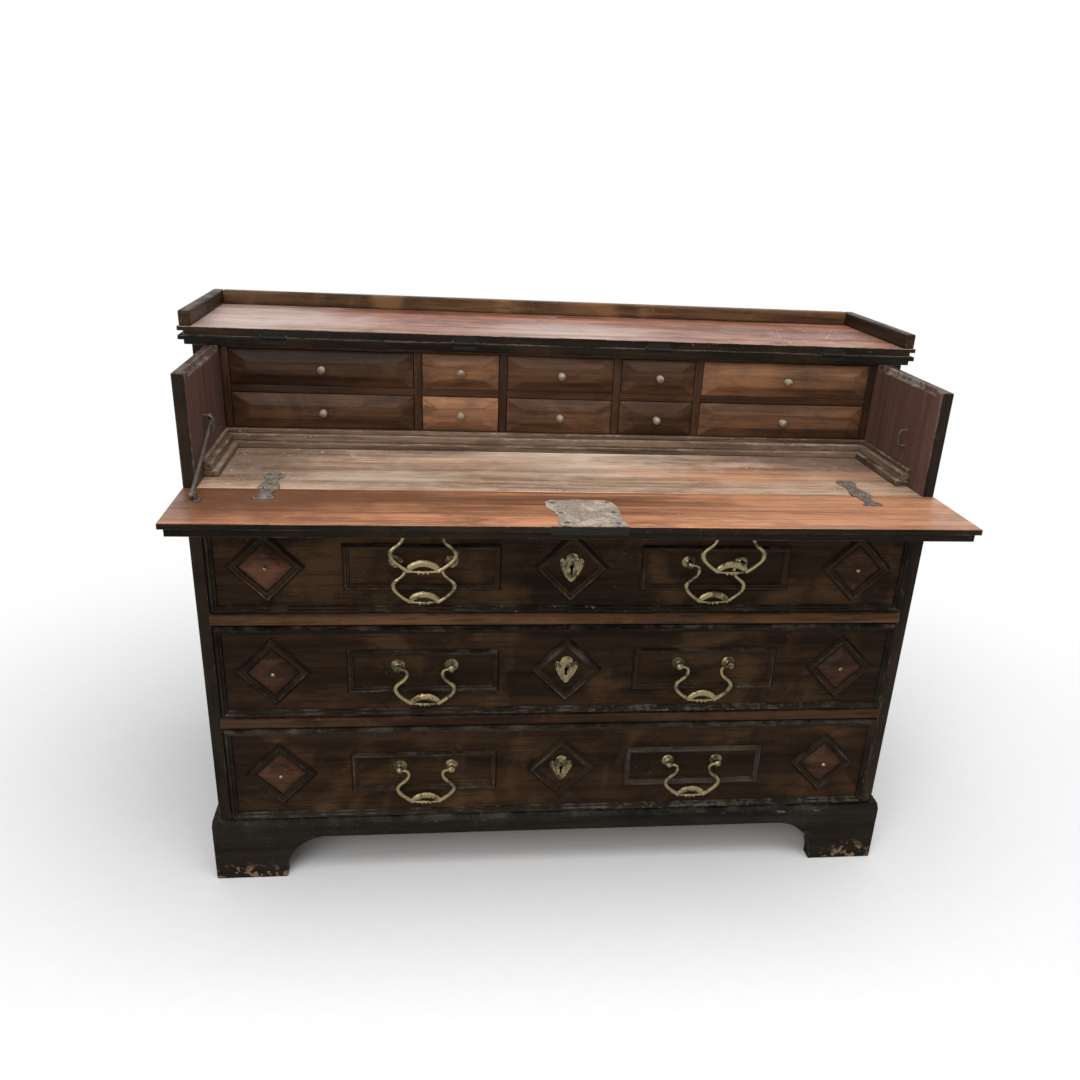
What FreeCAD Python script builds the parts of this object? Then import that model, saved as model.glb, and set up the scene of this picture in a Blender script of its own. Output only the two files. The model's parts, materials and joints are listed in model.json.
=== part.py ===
# Baroque chest escritoire: three long drawers, a fall front, a folding lid and ten small drawers.
# Millimetres, Z up, origin on the floor under the middle of the open piece.
import FreeCAD
import Part
import Sketcher
import math
import os
import re

doc = FreeCAD.newDocument("escritoire")
sheet = doc.addObject("Spreadsheet::Sheet", "Sizes")

# Driving sizes, one cell each
SIZES = {
    # carcass
    "case_width": 1240, "case_depth": 585, "side_thick": 20, "back_thick": 12, "back_joint": 0.6,
    "rim_rebate_width": 8, "rim_rebate_depth": 9, "rim_block": 24,
    "writing_height": 746, "compartment_height": 176, "bed_thick": 30, "bottom_thick": 14,
    "upper_rail_centre": 520, "lower_rail_centre": 323, "rail_height": 22, "rail_depth": 60,
    "rail_proud": 7, "bed_rail_height": 18, "runner_width": 30,
    # plinth
    "plinth_height": 123, "plinth_thick": 28, "plinth_proud": 13, "foot_width": 128,
    "side_foot_width": 120, "arch_height": 87, "arch_radius": 76, "plinth_bevel": 9,
    # fixed top and folding lid
    "lid_back_over": 2.4, "top_thick": 15, "lid_thick": 15, "lid_overhang": 45, "nib_inset": 10,
    "fascia_height": 26, "fascia_thick": 20, "fascia_inset": 4, "edge_gap": 1.6,
    "cornice_thick": 22, "cornice_height": 20,
    # fall front
    "hinge_gap": 0.4, "fall_thick": 22, "fall_top_gap": 1, "fall_lip": 9, "fall_step": 7,
    # long drawers
    "drawer_gap": 1.5, "drawer_seat": 0.3, "front_thick": 22, "box_side_thick": 12,
    "box_bottom_thick": 8, "box_clearance": 51, "box_drop": 18, "border_width": 14, "border_proud": 8,
    "panel_width": 262, "panel_height": 82, "panel_share": 0.417, "frame_width": 11.5,
    "frame_proud": 7, "lozenge_inset": 96, "lozenge_side": 91, "lozenge_frame": 14,
    "lozenge_core": 60, "lozenge_flat": 12, "core_proud": 10, "stud_radius": 4.5,
    # brass handles
    "post_spacing": 92, "post_inset": 2.2, "post_rise": 11, "pivot_reach": 16,
    "rosette_radius": 12, "rosette_thick": 3, "stem_radius": 3.4, "ball_radius": 5,
    "wire_radius": 2.5, "pin_play": 0.05, "bail_neck": 32, "bail_neck_drop": 15,
    "bail_belly": 50, "bail_belly_drop": 38, "bail_foot": 25, "bail_foot_drop": 66,
    "bail_arch_drop": 55, "bail_bend": 3, "crescent_radius": 5, "pendant_radius": 4.5,
    "fall_handle_reach": 100, "fall_pivot_reach": 11,
    # locks and keyholes
    "lock_width": 80, "lock_height": 62, "lock_thick": 14, "bolt_width": 26, "bolt_thick": 7,
    "bolt_length": 44, "bolt_throw": 8, "bolt_play": 0.3, "key_radius": 4, "key_slot": 11,
    "mortise_play": 2, "mortise_spare": 3, "edge_drop": 1, "tool_over": 1,
    "shield_width": 46, "shield_height": 52, "shield_thick": 2,
    "plate_width": 118, "plate_depth": 132, "plate_thick": 2, "edge_plate": 1.5,
    # nest of small drawers
    "nest_setback": 12, "nest_clearance": 51, "nest_wall": 14, "nest_base": 32, "nest_head": 5,
    "nest_shelf": 13, "outer_bay_share": 0.2876, "inner_bay_share": 0.1246, "nest_gap": 1, "nest_seat": 0.3,
    "small_front": 12, "small_side": 7, "small_bottom": 5, "small_spare": 10, "small_drop": 4,
    "hip_rise": 9, "hip_side": 30, "hip_height": 19, "knob_radius": 7, "knob_neck": 3,
    "knob_reach": 6, "moulding_depth": 24, "moulding_start": 60,
    # iron straps, lid hinges, stay and its guides
    "strap_width": 33, "strap_bed": 95, "strap_fall": 60, "strap_thick": 2, "strap_inset": 110,
    "strap_barrel": 4, "hinge_pin": 1.6, "barrel_play": 0.5, "strap_start": 6,
    "leaf_length": 42, "leaf_height": 11, "leaf_thick": 1.3, "leaf_barrel": 3,
    "outer_hinge_inset": 95, "inner_hinge": 175,
    "stay_reach": 64, "stay_lift": 8, "stay_inset": 7.5, "stay_radius": 3, "stay_over": 20,
    "stay_hook": 12, "stay_bend": 5, "eye_radius": 5.5, "eye_thick": 6, "lug_thick": 3, "lug_gap": 0.4,
    "guide_back": 100, "guide_lift": 71, "guide_low": 9, "guide_high": 19, "guide_bar": 2.5,
    "guide_width": 10, "guide_reach": 13.5,
}

# Sizes that follow from the driving ones
DERIVED = {
    "half_width": "case_width / 2",
    "inner_half": "case_width / 2 - side_thick",
    "side_top": "writing_height + compartment_height",
    "top_half": "half_width + lid_overhang",
    "lid_line": "(case_depth + lid_back_over - hinge_gap - fall_thick - lid_overhang) / 2",
    "fall_depth": "side_top - writing_height - hinge_gap - fall_top_gap",
    "fall_reach": "2 * hinge_gap + fall_depth",
    "lid_reach": "lid_line + hinge_gap + fall_thick + lid_overhang",
    "front_y": "(fall_reach - max(case_depth; lid_line + lid_reach)) / 2",
    "hinge_y": "front_y - hinge_gap",
    "back_y": "front_y + case_depth",
    "lid_hinge_y": "front_y + lid_line",
    "lid_hinge_z": "side_top + top_thick",
    "lid_back_y": "lid_hinge_y + lid_reach",
    "fall_front_y": "front_y - fall_reach",
    "plinth_half": "half_width + plinth_proud",
    "plinth_inner": "plinth_half - plinth_thick",
    "plinth_y": "front_y - plinth_proud",
    "plinth_inner_y": "plinth_y + plinth_thick",
    "plinth_run": "case_depth + plinth_proud - 2 * plinth_thick",
    "fall_under": "writing_height - fall_thick",
    "bed_under": "writing_height - bed_thick",
    "upper_ceiling": "bed_under - bed_rail_height",
    "lock_y": "front_y + front_thick + lock_thick / 2",
    "nest_y": "front_y + nest_front",
    "nest_floor": "writing_height + nest_base",
    "row_height": "(side_top - nest_head - nest_floor - nest_shelf) / 2",
    "nest_front": "lid_line + nest_setback",
    "nest_depth": "case_depth - back_thick - nest_front - nest_clearance",
    "nest_clear": "2 * inner_half - 6 * nest_wall",
    "outer_bay": "nest_clear * outer_bay_share",
    "inner_bay": "nest_clear * inner_bay_share",
    "middle_bay": "nest_clear - 2 * outer_bay - 2 * inner_bay",
    "small_length": "nest_depth - small_front - small_spare",
    "box_depth": "case_depth - back_thick - front_thick - box_clearance",
    "panel_offset": "inner_half * panel_share",
    "post_offset": "panel_offset - post_inset",
    "lozenge_offset": "inner_half - lozenge_inset",
    "strap_offset": "inner_half - strap_inset",
    "outer_hinge": "inner_half - outer_hinge_inset",
    "stay_x": "inner_half - stay_inset",
    "stay_y": "hinge_y - stay_reach",
    "stay_z": "writing_height + stay_lift",
    "guide_z": "writing_height + guide_lift",
}

WORD = re.compile(r"[A-Za-z_]\w*")
NODES = []


def fill_sheet():
    """Put each driving size in its own cell."""
    for row, (alias, value) in enumerate(SIZES.items(), start=1):
        sheet.set(f"A{row}", alias.replace("_", " "))
        sheet.set(f"B{row}", str(value))
        sheet.setAlias(f"B{row}", alias)
    doc.recompute()


def formula(text):
    """Turn plain size names into an expression on the sheet."""
    def swap(match):
        word = match.group(0)
        if word in DERIVED:
            return "(" + formula(DERIVED[word]) + ")"
        return f"Sizes.{word}" if word in SIZES else word
    return WORD.sub(swap, str(text))


def size(alias):
    """Value of one driving size."""
    return float(sheet.get(alias))


def put(solid, corner, turn=None):
    """Bind an object's place, with an optional turn given as axis and degrees."""
    if turn:
        axis, degrees = turn
        spin = FreeCAD.Rotation(FreeCAD.Vector(*axis), degrees)
        solid.Placement = FreeCAD.Placement(FreeCAD.Vector(), spin)
    for axis_name, text in zip("xyz", corner):
        solid.setExpression(f"Placement.Base.{axis_name}", formula(text))
    return solid


def box(name, lengths, corner, turn=None):
    solid = doc.addObject("Part::Box", name)
    for prop, text in zip(("Length", "Width", "Height"), lengths):
        solid.setExpression(prop, formula(text))
    return put(solid, corner, turn)


TURNS = {"x": ((0, 1, 0), 90), "-x": ((0, 1, 0), -90), "-y": ((1, 0, 0), 90), "y": ((1, 0, 0), -90),
         "-z": ((1, 0, 0), 180), "z": None}


def cylinder(name, radius, length, start, axis):
    solid = doc.addObject("Part::Cylinder", name)
    solid.setExpression("Radius", formula(radius))
    solid.setExpression("Height", formula(length))
    return put(solid, start, TURNS[axis])


def sphere(name, radius, centre):
    solid = doc.addObject("Part::Sphere", name)
    solid.setExpression("Radius", formula(radius))
    return put(solid, centre)


def hip(name, width, height, side, top, rise, corner, turn=None):
    """Frustum that rises towards the front: full outline at the back, smaller face in front."""
    solid = doc.addObject("Part::Wedge", name)
    for prop, text in (("Xmin", side), ("Xmax", f"{width} - {side}"), ("Zmin", top),
                       ("Zmax", f"{height} - {top}"), ("Ymin", "0"), ("Ymax", rise),
                       ("X2min", "0"), ("X2max", width), ("Z2min", "0"), ("Z2max", height)):
        solid.setExpression(prop, formula(text))
    return put(solid, corner, turn)


def fuse(name, *pieces):
    solid = doc.addObject("Part::MultiFuse", name)
    solid.Shapes = list(pieces)
    solid.Refine = True
    return solid


def cut(name, base, *tools):
    solid = doc.addObject("Part::Cut", name)
    solid.Base = base
    solid.Tool = tools[0] if len(tools) == 1 else fuse(name + "_tools", *tools)
    return solid


def node(label, *solids):
    """Name one node: a single object, or a group of separate solids."""
    piece = solids[0]
    if len(solids) > 1:
        piece = doc.addObject("Part::Compound", label + "_group")
        piece.Links = list(solids)
    piece.Label = label
    NODES.append(piece)
    return piece


def plane(body, role):
    return next(item for item in body.Origin.OriginFeatures if item.Role == role)


def prism(name, role, points, depth, corner, fillets=None, turn=None):
    """Body padded from a closed outline whose corners follow the sheet."""
    body = doc.addObject("PartDesign::Body", name)
    outline = body.newObject("Sketcher::SketchObject", name + "_outline")
    outline.AttachmentSupport = (plane(body, role), [""])
    outline.MapMode = "FlatFace"
    values = [tuple(sheet.evalExpression(formula(text)) for text in point) for point in points]
    values = [tuple(float(getattr(item, "Value", item)) for item in pair) for pair in values]
    count = len(points)
    for index in range(count):
        start = FreeCAD.Vector(*values[index], 0)
        end = FreeCAD.Vector(*values[(index + 1) % count], 0)
        outline.addGeometry(Part.LineSegment(start, end), False)
    for index in range(count):
        outline.addConstraint(Sketcher.Constraint("Coincident", index, 2, (index + 1) % count, 1))
    for index, (point, value) in enumerate(zip(points, values)):
        for kind, text, number in zip(("DistanceX", "DistanceY"), point, value):
            rule = outline.addConstraint(Sketcher.Constraint(kind, -1, 1, index, 1, number))
            outline.setExpression(f"Constraints[{rule}]", formula(text))
    pad = body.newObject("PartDesign::Pad", name + "_pad")
    pad.Profile = outline
    pad.setExpression("Length", formula(depth))
    if fillets:
        radius, spots = fillets
        doc.recompute()
        rounding = body.newObject("PartDesign::Fillet", name + "_round")
        rounding.Base = (pad, edges_through(pad.Shape, values, spots))
        rounding.setExpression("Radius", formula(radius))
    return put(body, corner, turn)


def edges_through(shape, values, spots):
    """Names of the padded edges that start at the chosen outline corners."""
    names = []
    for number, edge in enumerate(shape.Edges, start=1):
        ends = [vertex.Point for vertex in edge.Vertexes]
        for spot in spots:
            at_spot = [abs(end.x - values[spot][0]) + abs(end.z - values[spot][1]) < 0.01 for end in ends]
            if len(ends) == 2 and all(at_spot):
                names.append(f"Edge{number}")
    return names


# Carcass

def side(label, sign):
    left = "-half_width" if sign < 0 else "inner_half"
    rebate = "-inner_half - rim_rebate_width" if sign < 0 else "inner_half"
    board = box(label + "_board", ("side_thick", "case_depth - back_thick", "side_top - plinth_height"),
                (left, "front_y", "plinth_height"))
    groove = box(label + "_rebate", ("rim_rebate_width", "lid_line - rim_block", "rim_rebate_depth"),
                 (rebate, "front_y + rim_block", "side_top - rim_rebate_depth"))
    node(label, cut(label + "_cut", board, groove))


def back_boards(count=3):
    height = f"((side_top - plinth_height - {count - 1} * back_joint) / {count})"
    boards = []
    for index in range(count):
        place = ("-half_width", "back_y - back_thick", f"plinth_height + {index} * ({height} + back_joint)")
        boards.append(box(f"back_board_{index + 1}", ("case_width", "back_thick", height), place))
    node("back_boards", *boards)


def carcass_boards():
    """Bottom board and the four runners that carry the two upper drawers."""
    depth = "case_depth - back_thick - rail_depth"
    boards = [box("bottom_board", ("2 * plinth_inner", "plinth_run", "bottom_thick"),
                  ("-plinth_inner", "plinth_inner_y", "plinth_height - bottom_thick"))]
    for level in ("lower", "upper"):
        for side_name, left in (("left", "-inner_half"), ("right", "inner_half - runner_width")):
            place = (left, "front_y + rail_depth", f"{level}_rail_centre - rail_height / 2")
            boards.append(box(f"{level}_runner_{side_name}", ("runner_width", depth, "rail_height"), place))
    node("carcass_boards", *boards)


def bolt_mortise(name, top):
    """Slot above a drawer lock that takes its bolt."""
    return box(name, ("bolt_width + 2 * mortise_play", "bolt_thick + 2 * mortise_play",
                      "bolt_throw + drawer_gap + mortise_spare"),
               ("-bolt_width / 2 - mortise_play", "lock_y - bolt_thick / 2 - mortise_play", top))


def drawer_rails():
    rails = []
    for level in ("lower", "upper"):
        centre = f"{level}_rail_centre"
        board = box(f"{level}_rail_board", ("2 * inner_half", "rail_depth", "rail_height"),
                    ("-inner_half", "front_y", f"{centre} - rail_height / 2"))
        bead = hip(f"{level}_rail_bead", "2 * inner_half", "rail_height", "0", "rail_height / 4",
                   "rail_proud", ("-inner_half", "front_y - rail_proud", f"{centre} - rail_height / 2"))
        slot = bolt_mortise(f"{level}_rail_mortise", f"{centre} - rail_height / 2")
        rails.append(cut(f"{level}_rail", fuse(f"{level}_rail_body", board, bead), slot))
    bed_rail = box("bed_rail_board", ("2 * inner_half", "rail_depth", "bed_rail_height"),
                   ("-inner_half", "front_y", "upper_ceiling"))
    rails.append(cut("bed_rail", bed_rail, bolt_mortise("bed_rail_mortise", "upper_ceiling")))
    node("drawer_rails", *rails)


def writing_bed():
    board = box("bed_board", ("2 * inner_half", "case_depth - back_thick", "bed_thick"),
                ("-inner_half", "front_y", "bed_under"))
    tools = [barrel_notch(f"bed_notch_{name}", x_text, "front_y - tool_over") for name, x_text in STRAPS]
    node("writing_bed", cut("bed_cut", board, *tools))


LEANING = ((1, 0, 0), 45)


def plinth():
    """Bracket plinth: arched front, arched ends and a plain board behind."""
    inner = "(plinth_half - foot_width)"
    outline = [("-plinth_half", "0"), (f"-{inner}", "0"), (f"-{inner}", "arch_height"),
               (inner, "arch_height"), (inner, "0"), ("plinth_half", "0"),
               ("plinth_half", "plinth_height"), ("-plinth_half", "plinth_height")]
    front = prism("plinth_front_body", "XZ_Plane", outline, "plinth_thick",
                  ("0", "plinth_inner_y", "0"), ("arch_radius", (2, 3)))
    bevel = box("plinth_bevel_tool",
                ("2 * (plinth_half + tool_over)", "plinth_bevel * 2", "plinth_bevel * 2"),
                ("-plinth_half - tool_over", "plinth_y", "plinth_height - plinth_bevel"), LEANING)
    node("plinth_front", cut("plinth_front_cut", front, bevel))
    far_foot = "plinth_run - side_foot_width"
    side_outline = [("0", "0"), ("side_foot_width", "0"), ("side_foot_width", "arch_height"),
                    (far_foot, "arch_height"), (far_foot, "0"),
                    ("plinth_run", "0"), ("plinth_run", "plinth_height"), ("0", "plinth_height")]
    ends = []
    for name, x_text in (("left", "-plinth_half"), ("right", "plinth_inner")):
        ends.append(prism(f"plinth_{name}", "XZ_Plane", side_outline, "plinth_thick",
                          (x_text, "plinth_inner_y", "0"), ("arch_radius", (2, 3)), ((0, 0, 1), 90)))
    back = box("plinth_back", ("2 * plinth_half", "plinth_thick", "plinth_height"),
               ("-plinth_half", "back_y - plinth_thick", "0"))
    node("plinth_returns", *ends, back)


def fixed_top():
    """Fixed rear half of the top, with a cornice strip along each end of the case below it."""
    depth = "(case_depth - lid_line - edge_gap)"
    front = "lid_hinge_y + edge_gap"
    nib = box("top_nib", ("2 * top_half", depth, "top_thick / 2"),
              ("-top_half", front, "side_top + top_thick / 2"))
    core = box("top_core", ("2 * (top_half - nib_inset)", depth, "top_thick"),
               ("-top_half + nib_inset", front, "side_top"))
    notches = [leaf_notch(f"top_notch_{name}", x_text) for name, x_text in LID_HINGES]
    strips = []
    for name, left in (("left", "-half_width - cornice_thick"), ("right", "half_width")):
        strips.append(box(f"cornice_{name}", ("cornice_thick", depth, "cornice_height"),
                          (left, front, "side_top - cornice_height")))
    node("fixed_top", cut("top_board", fuse("top_body", nib, core), *notches), *strips)


# Nest of small drawers

def bay_walls():
    """Left face of each of the six uprights, as expressions from the left end."""
    walls = ["0"]
    for width in BAYS:
        walls.append(f"{walls[-1]} + nest_wall + {width}")
    return walls


BAYS = ("outer_bay", "inner_bay", "middle_bay", "inner_bay", "outer_bay")


def nest_frame():
    pieces = [box("nest_floor_board", ("2 * inner_half", "nest_depth", "nest_base"),
                  ("-inner_half", "nest_y", "writing_height")),
              box("nest_head_board", ("2 * inner_half", "nest_depth", "nest_head"),
                  ("-inner_half", "nest_y", "side_top - nest_head"))]
    walls = bay_walls()
    height = "2 * row_height + nest_shelf"
    for index, wall in enumerate(walls):
        pieces.append(box(f"nest_upright_{index + 1}", ("nest_wall", "nest_depth", height),
                          (f"-inner_half + {wall}", "nest_y", "nest_floor")))
    for index, width in enumerate(BAYS):
        place = (f"-inner_half + {walls[index]} + nest_wall", "nest_y", "nest_floor + row_height")
        pieces.append(box(f"nest_shelf_{index + 1}", (width, "nest_depth", "nest_shelf"), place))
    node("nest_frame", *pieces)


# Two steps with a sloping top, from the wall outwards, as shares of the depth and height
MOULDING = ((0, 0), (1, 0), (1, 0.3), (0.62, 0.42), (0.5, 0.75), (0.2, 0.97), (0, 0.97))


def inner_mouldings():
    """Stepped moulding round the writing bed, below the small drawers and along both sides."""
    outline = [(f"moulding_depth * {out}", f"nest_base * {rise}") for out, rise in MOULDING]
    length = "(nest_front - moulding_start)"
    back = prism("moulding_back", "XZ_Plane", outline, "2 * inner_half",
                 ("inner_half", "nest_y", "writing_height"), None, ((0, 0, 1), -90))
    left = prism("moulding_left", "XZ_Plane", outline, f"{length} - moulding_depth",
                 ("-inner_half", "nest_y - moulding_depth", "writing_height"))
    right = prism("moulding_right", "XZ_Plane", outline, f"{length} - moulding_depth",
                  ("inner_half", "front_y + moulding_start", "writing_height"), None, ((0, 0, 1), 180))
    node("inner_mouldings", back, left, right)


def small_drawer(label, bay, row):
    """Small drawer: hipped front, two sides, back, bottom and a turned knob."""
    left = f"-inner_half + {bay_walls()[bay]} + nest_wall + nest_gap"
    width = f"({BAYS[bay]} - 2 * nest_gap)"
    base = f"nest_floor + nest_seat + {row} * (row_height + nest_shelf)"
    height = "(row_height - nest_seat - nest_gap)"
    board = box(label + "_board", (width, "small_front", height), (left, "nest_y", base))
    raised = hip(label + "_hip", width, height, "hip_side", "hip_height", "hip_rise",
                 (left, "nest_y - hip_rise", base))
    behind = "nest_y + small_front"
    wall = f"({height} - small_drop)"
    inside = f"({width} - 2 * small_side)"
    pieces = [fuse(label + "_front", board, raised)]
    for side_name, x_text in (("left", left), ("right", f"{left} + {width} - small_side")):
        pieces.append(box(f"{label}_{side_name}", ("small_side", "small_length", wall),
                          (x_text, behind, base)))
    pieces.append(box(label + "_back", (inside, "small_side", wall),
                      (f"{left} + small_side", f"{behind} + small_length - small_side", base)))
    pieces.append(box(label + "_bottom", (inside, "small_length - small_side", "small_bottom"),
                      (f"{left} + small_side", behind, base)))
    centre = (f"{left} + {width} / 2", "nest_y - hip_rise", f"{base} + {height} / 2")
    neck = cylinder(label + "_neck", "knob_neck", "knob_reach", centre, "-y")
    ball = sphere(label + "_ball", "knob_radius",
                  (centre[0], "nest_y - hip_rise - knob_reach - knob_radius * 0.7", centre[2]))
    node(label, *pieces, fuse(label + "_knob", neck, ball))


# Brass handles

def rounded_path(points, radius):
    """Straight runs joined by tangent arcs."""
    edges = []
    start = points[0]
    for corner, after in zip(points[1:-1], points[2:]):
        towards = (start - corner).normalize()
        onwards = (after - corner).normalize()
        half = towards.getAngle(onwards) / 2
        reach = radius / math.tan(half)
        first = corner + towards * reach
        last = corner + onwards * reach
        middle_way = (towards + onwards).normalize()
        middle = corner + middle_way * (radius / math.sin(half) - radius)
        edges.append(Part.LineSegment(start, first).toShape())
        edges.append(Part.Arc(first, middle, last).toShape())
        start = last
    edges.append(Part.LineSegment(start, points[-1]).toShape())
    return Part.Wire(edges)


def tube(wire, radius):
    """Round rod along a path."""
    first = wire.Edges[0]
    begin = first.firstVertex(True).Point
    tangent = first.tangentAt(first.FirstParameter)
    ring = Part.Wire(Part.makeCircle(radius, begin, tangent))
    return wire.makePipeShell([ring], True, False)


def bail(label, pivot):
    """Swan-necked bail with a thick arched centre, a bar below it and a small pendant."""
    pin_end = size("post_spacing") / 2 + size("ball_radius") * 0.9
    half = [(pin_end, 0), (size("bail_neck"), 0), (size("bail_neck"), -size("bail_neck_drop")),
            (size("bail_belly"), -size("bail_belly_drop")), (size("bail_foot"), -size("bail_foot_drop"))]
    arch_drop = size("bail_arch_drop")
    centre = FreeCAD.Vector(0, 0, -arch_drop)
    right = [FreeCAD.Vector(x, 0, z) for x, z in half]
    left = [FreeCAD.Vector(-point.x, 0, point.z) for point in reversed(right)]
    neck = rounded_path(right, size("bail_bend"))
    other_neck = rounded_path(left, size("bail_bend"))
    arch = Part.Wire(Part.Arc(right[-1], centre, left[0]).toShape())
    bar_radius = size("wire_radius") * 0.8
    bar = Part.makeCylinder(bar_radius, 2 * right[-1].x, left[0], FreeCAD.Vector(1, 0, 0))
    drop = FreeCAD.Vector(0, 0, right[-1].z - size("pendant_radius") * 0.8)
    pieces = [tube(other_neck, size("wire_radius")), tube(arch, size("crescent_radius")), bar,
              Part.makeSphere(size("crescent_radius") * 1.1, right[-1]),
              Part.makeSphere(size("crescent_radius") * 1.1, left[0]),
              Part.makeSphere(size("pendant_radius"), drop)]
    solid = doc.addObject("Part::Feature", label + "_bail")
    solid.Shape = tube(neck, size("wire_radius")).multiFuse(pieces).removeSplitter()
    put(solid, pivot)
    node(label, solid)


def post(name, seat, axis, reach):
    """Rosette, stem and ball head, drilled across for the bail's pin."""
    x_text, y_text, z_text = seat
    tip = (x_text, y_text, f"{z_text} - {reach}")
    if axis == "-y":
        tip = (x_text, f"{y_text} - {reach}", z_text)
    rosette = cylinder(name + "_rosette", "rosette_radius", "rosette_thick", seat, axis)
    stem = cylinder(name + "_stem", "stem_radius", reach, seat, axis)
    ball = sphere(name + "_ball", "ball_radius", tip)
    hole = cylinder(name + "_hole", "wire_radius + pin_play", "4 * ball_radius",
                    (f"{x_text} - 2 * ball_radius", tip[1], tip[2]), "x")
    return cut(name, fuse(name + "_body", rosette, stem, ball), hole)


def post_pair(name, centre_x, y_text, z_text, axis, reach):
    pair = []
    for side_name, sign in (("left", "-"), ("right", "+")):
        seat = (f"{centre_x} {sign} post_spacing / 2", y_text, z_text)
        pair.append(post(f"{name}_post_{side_name}", seat, axis, reach))
    return pair


# Long drawers

def keyhole(name, y_text, centre_z, depth):
    """Round keyhole with a slot below it, as a cutting tool."""
    bore = cylinder(name + "_bore", "key_radius", depth, ("0", y_text, centre_z), "y")
    slot = box(name + "_slot", ("key_radius", depth, "key_slot"),
               ("-key_radius / 2", y_text, f"{centre_z} - key_slot"))
    return bore, slot


def drawer_front(label, low, high, key_z):
    board = box(label + "_front_board", ("2 * (inner_half - drawer_gap)", "front_thick", f"{high} - {low}"),
                ("-inner_half + drawer_gap", "front_y", low))
    tools = keyhole(label + "_front_key", "front_y - tool_over", key_z, "front_thick + 2 * tool_over")
    node(label + "_front", cut(label + "_front_cut", board, *tools))


def frame_strip(name, width, height, strip, proud, corner, turn=None):
    """Moulded frame: sloping outside, square inside."""
    outer = hip(name + "_outer", width, height, f"{strip} / 3", f"{strip} / 3", proud, corner, turn)
    hole = (f"{width} - 2 * {strip}", f"{proud} * 3", f"{height} - 2 * {strip}")
    moved = [f"{text} + {part}" for text, part in zip(corner, strip_shift(strip, proud, turn))]
    inner = box(name + "_inner", hole, moved, turn)
    return cut(name, outer, inner)


def strip_shift(strip, proud, turn):
    """Offset from a frame's corner to its opening, straight or stood on its point."""
    if turn:
        return "0", f"-{proud}", f"{strip} * sqrt(2)"
    return strip, f"-{proud}", strip


def drawer_trim(label, low, high, middle):
    """Border, two moulded panels, three lozenge frames and the two raised lozenges."""
    width = "(2 * (inner_half - drawer_gap))"
    pieces = [frame_strip(label + "_border", width, f"({high} - ({low}))", "border_width", "border_proud",
                          ("-inner_half + drawer_gap", "front_y - border_proud", low))]
    for name, sign in (("left", "-"), ("right", "")):
        corner = (f"{sign}panel_offset - panel_width / 2", "front_y - frame_proud",
                  f"{middle} - panel_height / 2")
        pieces.append(frame_strip(f"{label}_panel_{name}", "panel_width", "panel_height", "frame_width",
                                  "frame_proud", corner))
    for name, x_text in (("left", "-lozenge_offset"), ("centre", "0"), ("right", "lozenge_offset")):
        corner = (x_text, "front_y - frame_proud", f"{middle} - lozenge_side / sqrt(2)")
        pieces.append(frame_strip(f"{label}_lozenge_{name}", "lozenge_side", "lozenge_side", "lozenge_frame",
                                  "frame_proud", corner, ON_POINT))
        if name != "centre":
            seat = (x_text, "front_y - core_proud", f"{middle} - lozenge_core / sqrt(2)")
            pieces.append(hip(f"{label}_core_{name}", "lozenge_core", "lozenge_core", "lozenge_flat",
                              "lozenge_flat", "core_proud", seat, ON_POINT))
    node(label + "_mouldings", *pieces)


ON_POINT = ((0, 1, 0), -45)


def drawer_box(label, low, high):
    """Two sides, a back and a bottom behind the front."""
    start = "front_y + front_thick"
    left = "-inner_half + drawer_gap"
    height = f"({high} - ({low}) - box_drop)"
    span = "(2 * (inner_half - drawer_gap - box_side_thick))"
    pieces = []
    for name, x_text in (("left", left), ("right", "inner_half - drawer_gap - box_side_thick")):
        pieces.append(box(f"{label}_side_{name}", ("box_side_thick", "box_depth", height),
                          (x_text, start, low)))
    pieces.append(box(label + "_back", (span, "box_side_thick", height),
                      (f"{left} + box_side_thick", f"{start} + box_depth - box_side_thick", low)))
    pieces.append(box(label + "_bottom", (span, "box_depth - box_side_thick", "box_bottom_thick"),
                      (f"{left} + box_side_thick", start, low)))
    node(label + "_box", *pieces)


# Right half of a leaf-shaped plate from its tip upwards, as shares of the width and height
LEAF = ((0, -0.5), (0.24, -0.33), (0.37, -0.12), (0.5, 0.12), (0.46, 0.3), (0.3, 0.26), (0.2, 0.42),
        (0, 0.5))


def shield(name, centre_z):
    """Leaf-shaped escutcheon with its keyhole."""
    points = list(LEAF) + [(-out, rise) for out, rise in reversed(LEAF[1:-1])]
    outline = [(f"shield_width * {out}", f"shield_height * {rise}") for out, rise in points]
    plate = prism(name + "_plate", "XZ_Plane", outline, "shield_thick", ("0", "front_y", centre_z))
    tools = keyhole(name + "_key", "front_y - shield_thick - tool_over", centre_z,
                    "shield_thick + 2 * tool_over")
    return cut(name, plate, *tools)


def drawer_brass(label, middle):
    """Fixed brass: four handle posts, the escutcheon and the two lozenge studs."""
    pieces = []
    for name, sign in (("left", "-"), ("right", "")):
        pieces += post_pair(f"{label}_{name}", f"{sign}post_offset", "front_y",
                            f"{middle} + post_rise", "-y", "pivot_reach")
        pieces.append(sphere_cap(f"{label}_stud_{name}", f"{sign}lozenge_offset", middle))
    pieces.append(shield(label + "_shield", middle))
    node(label + "_brass", *pieces)


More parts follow.
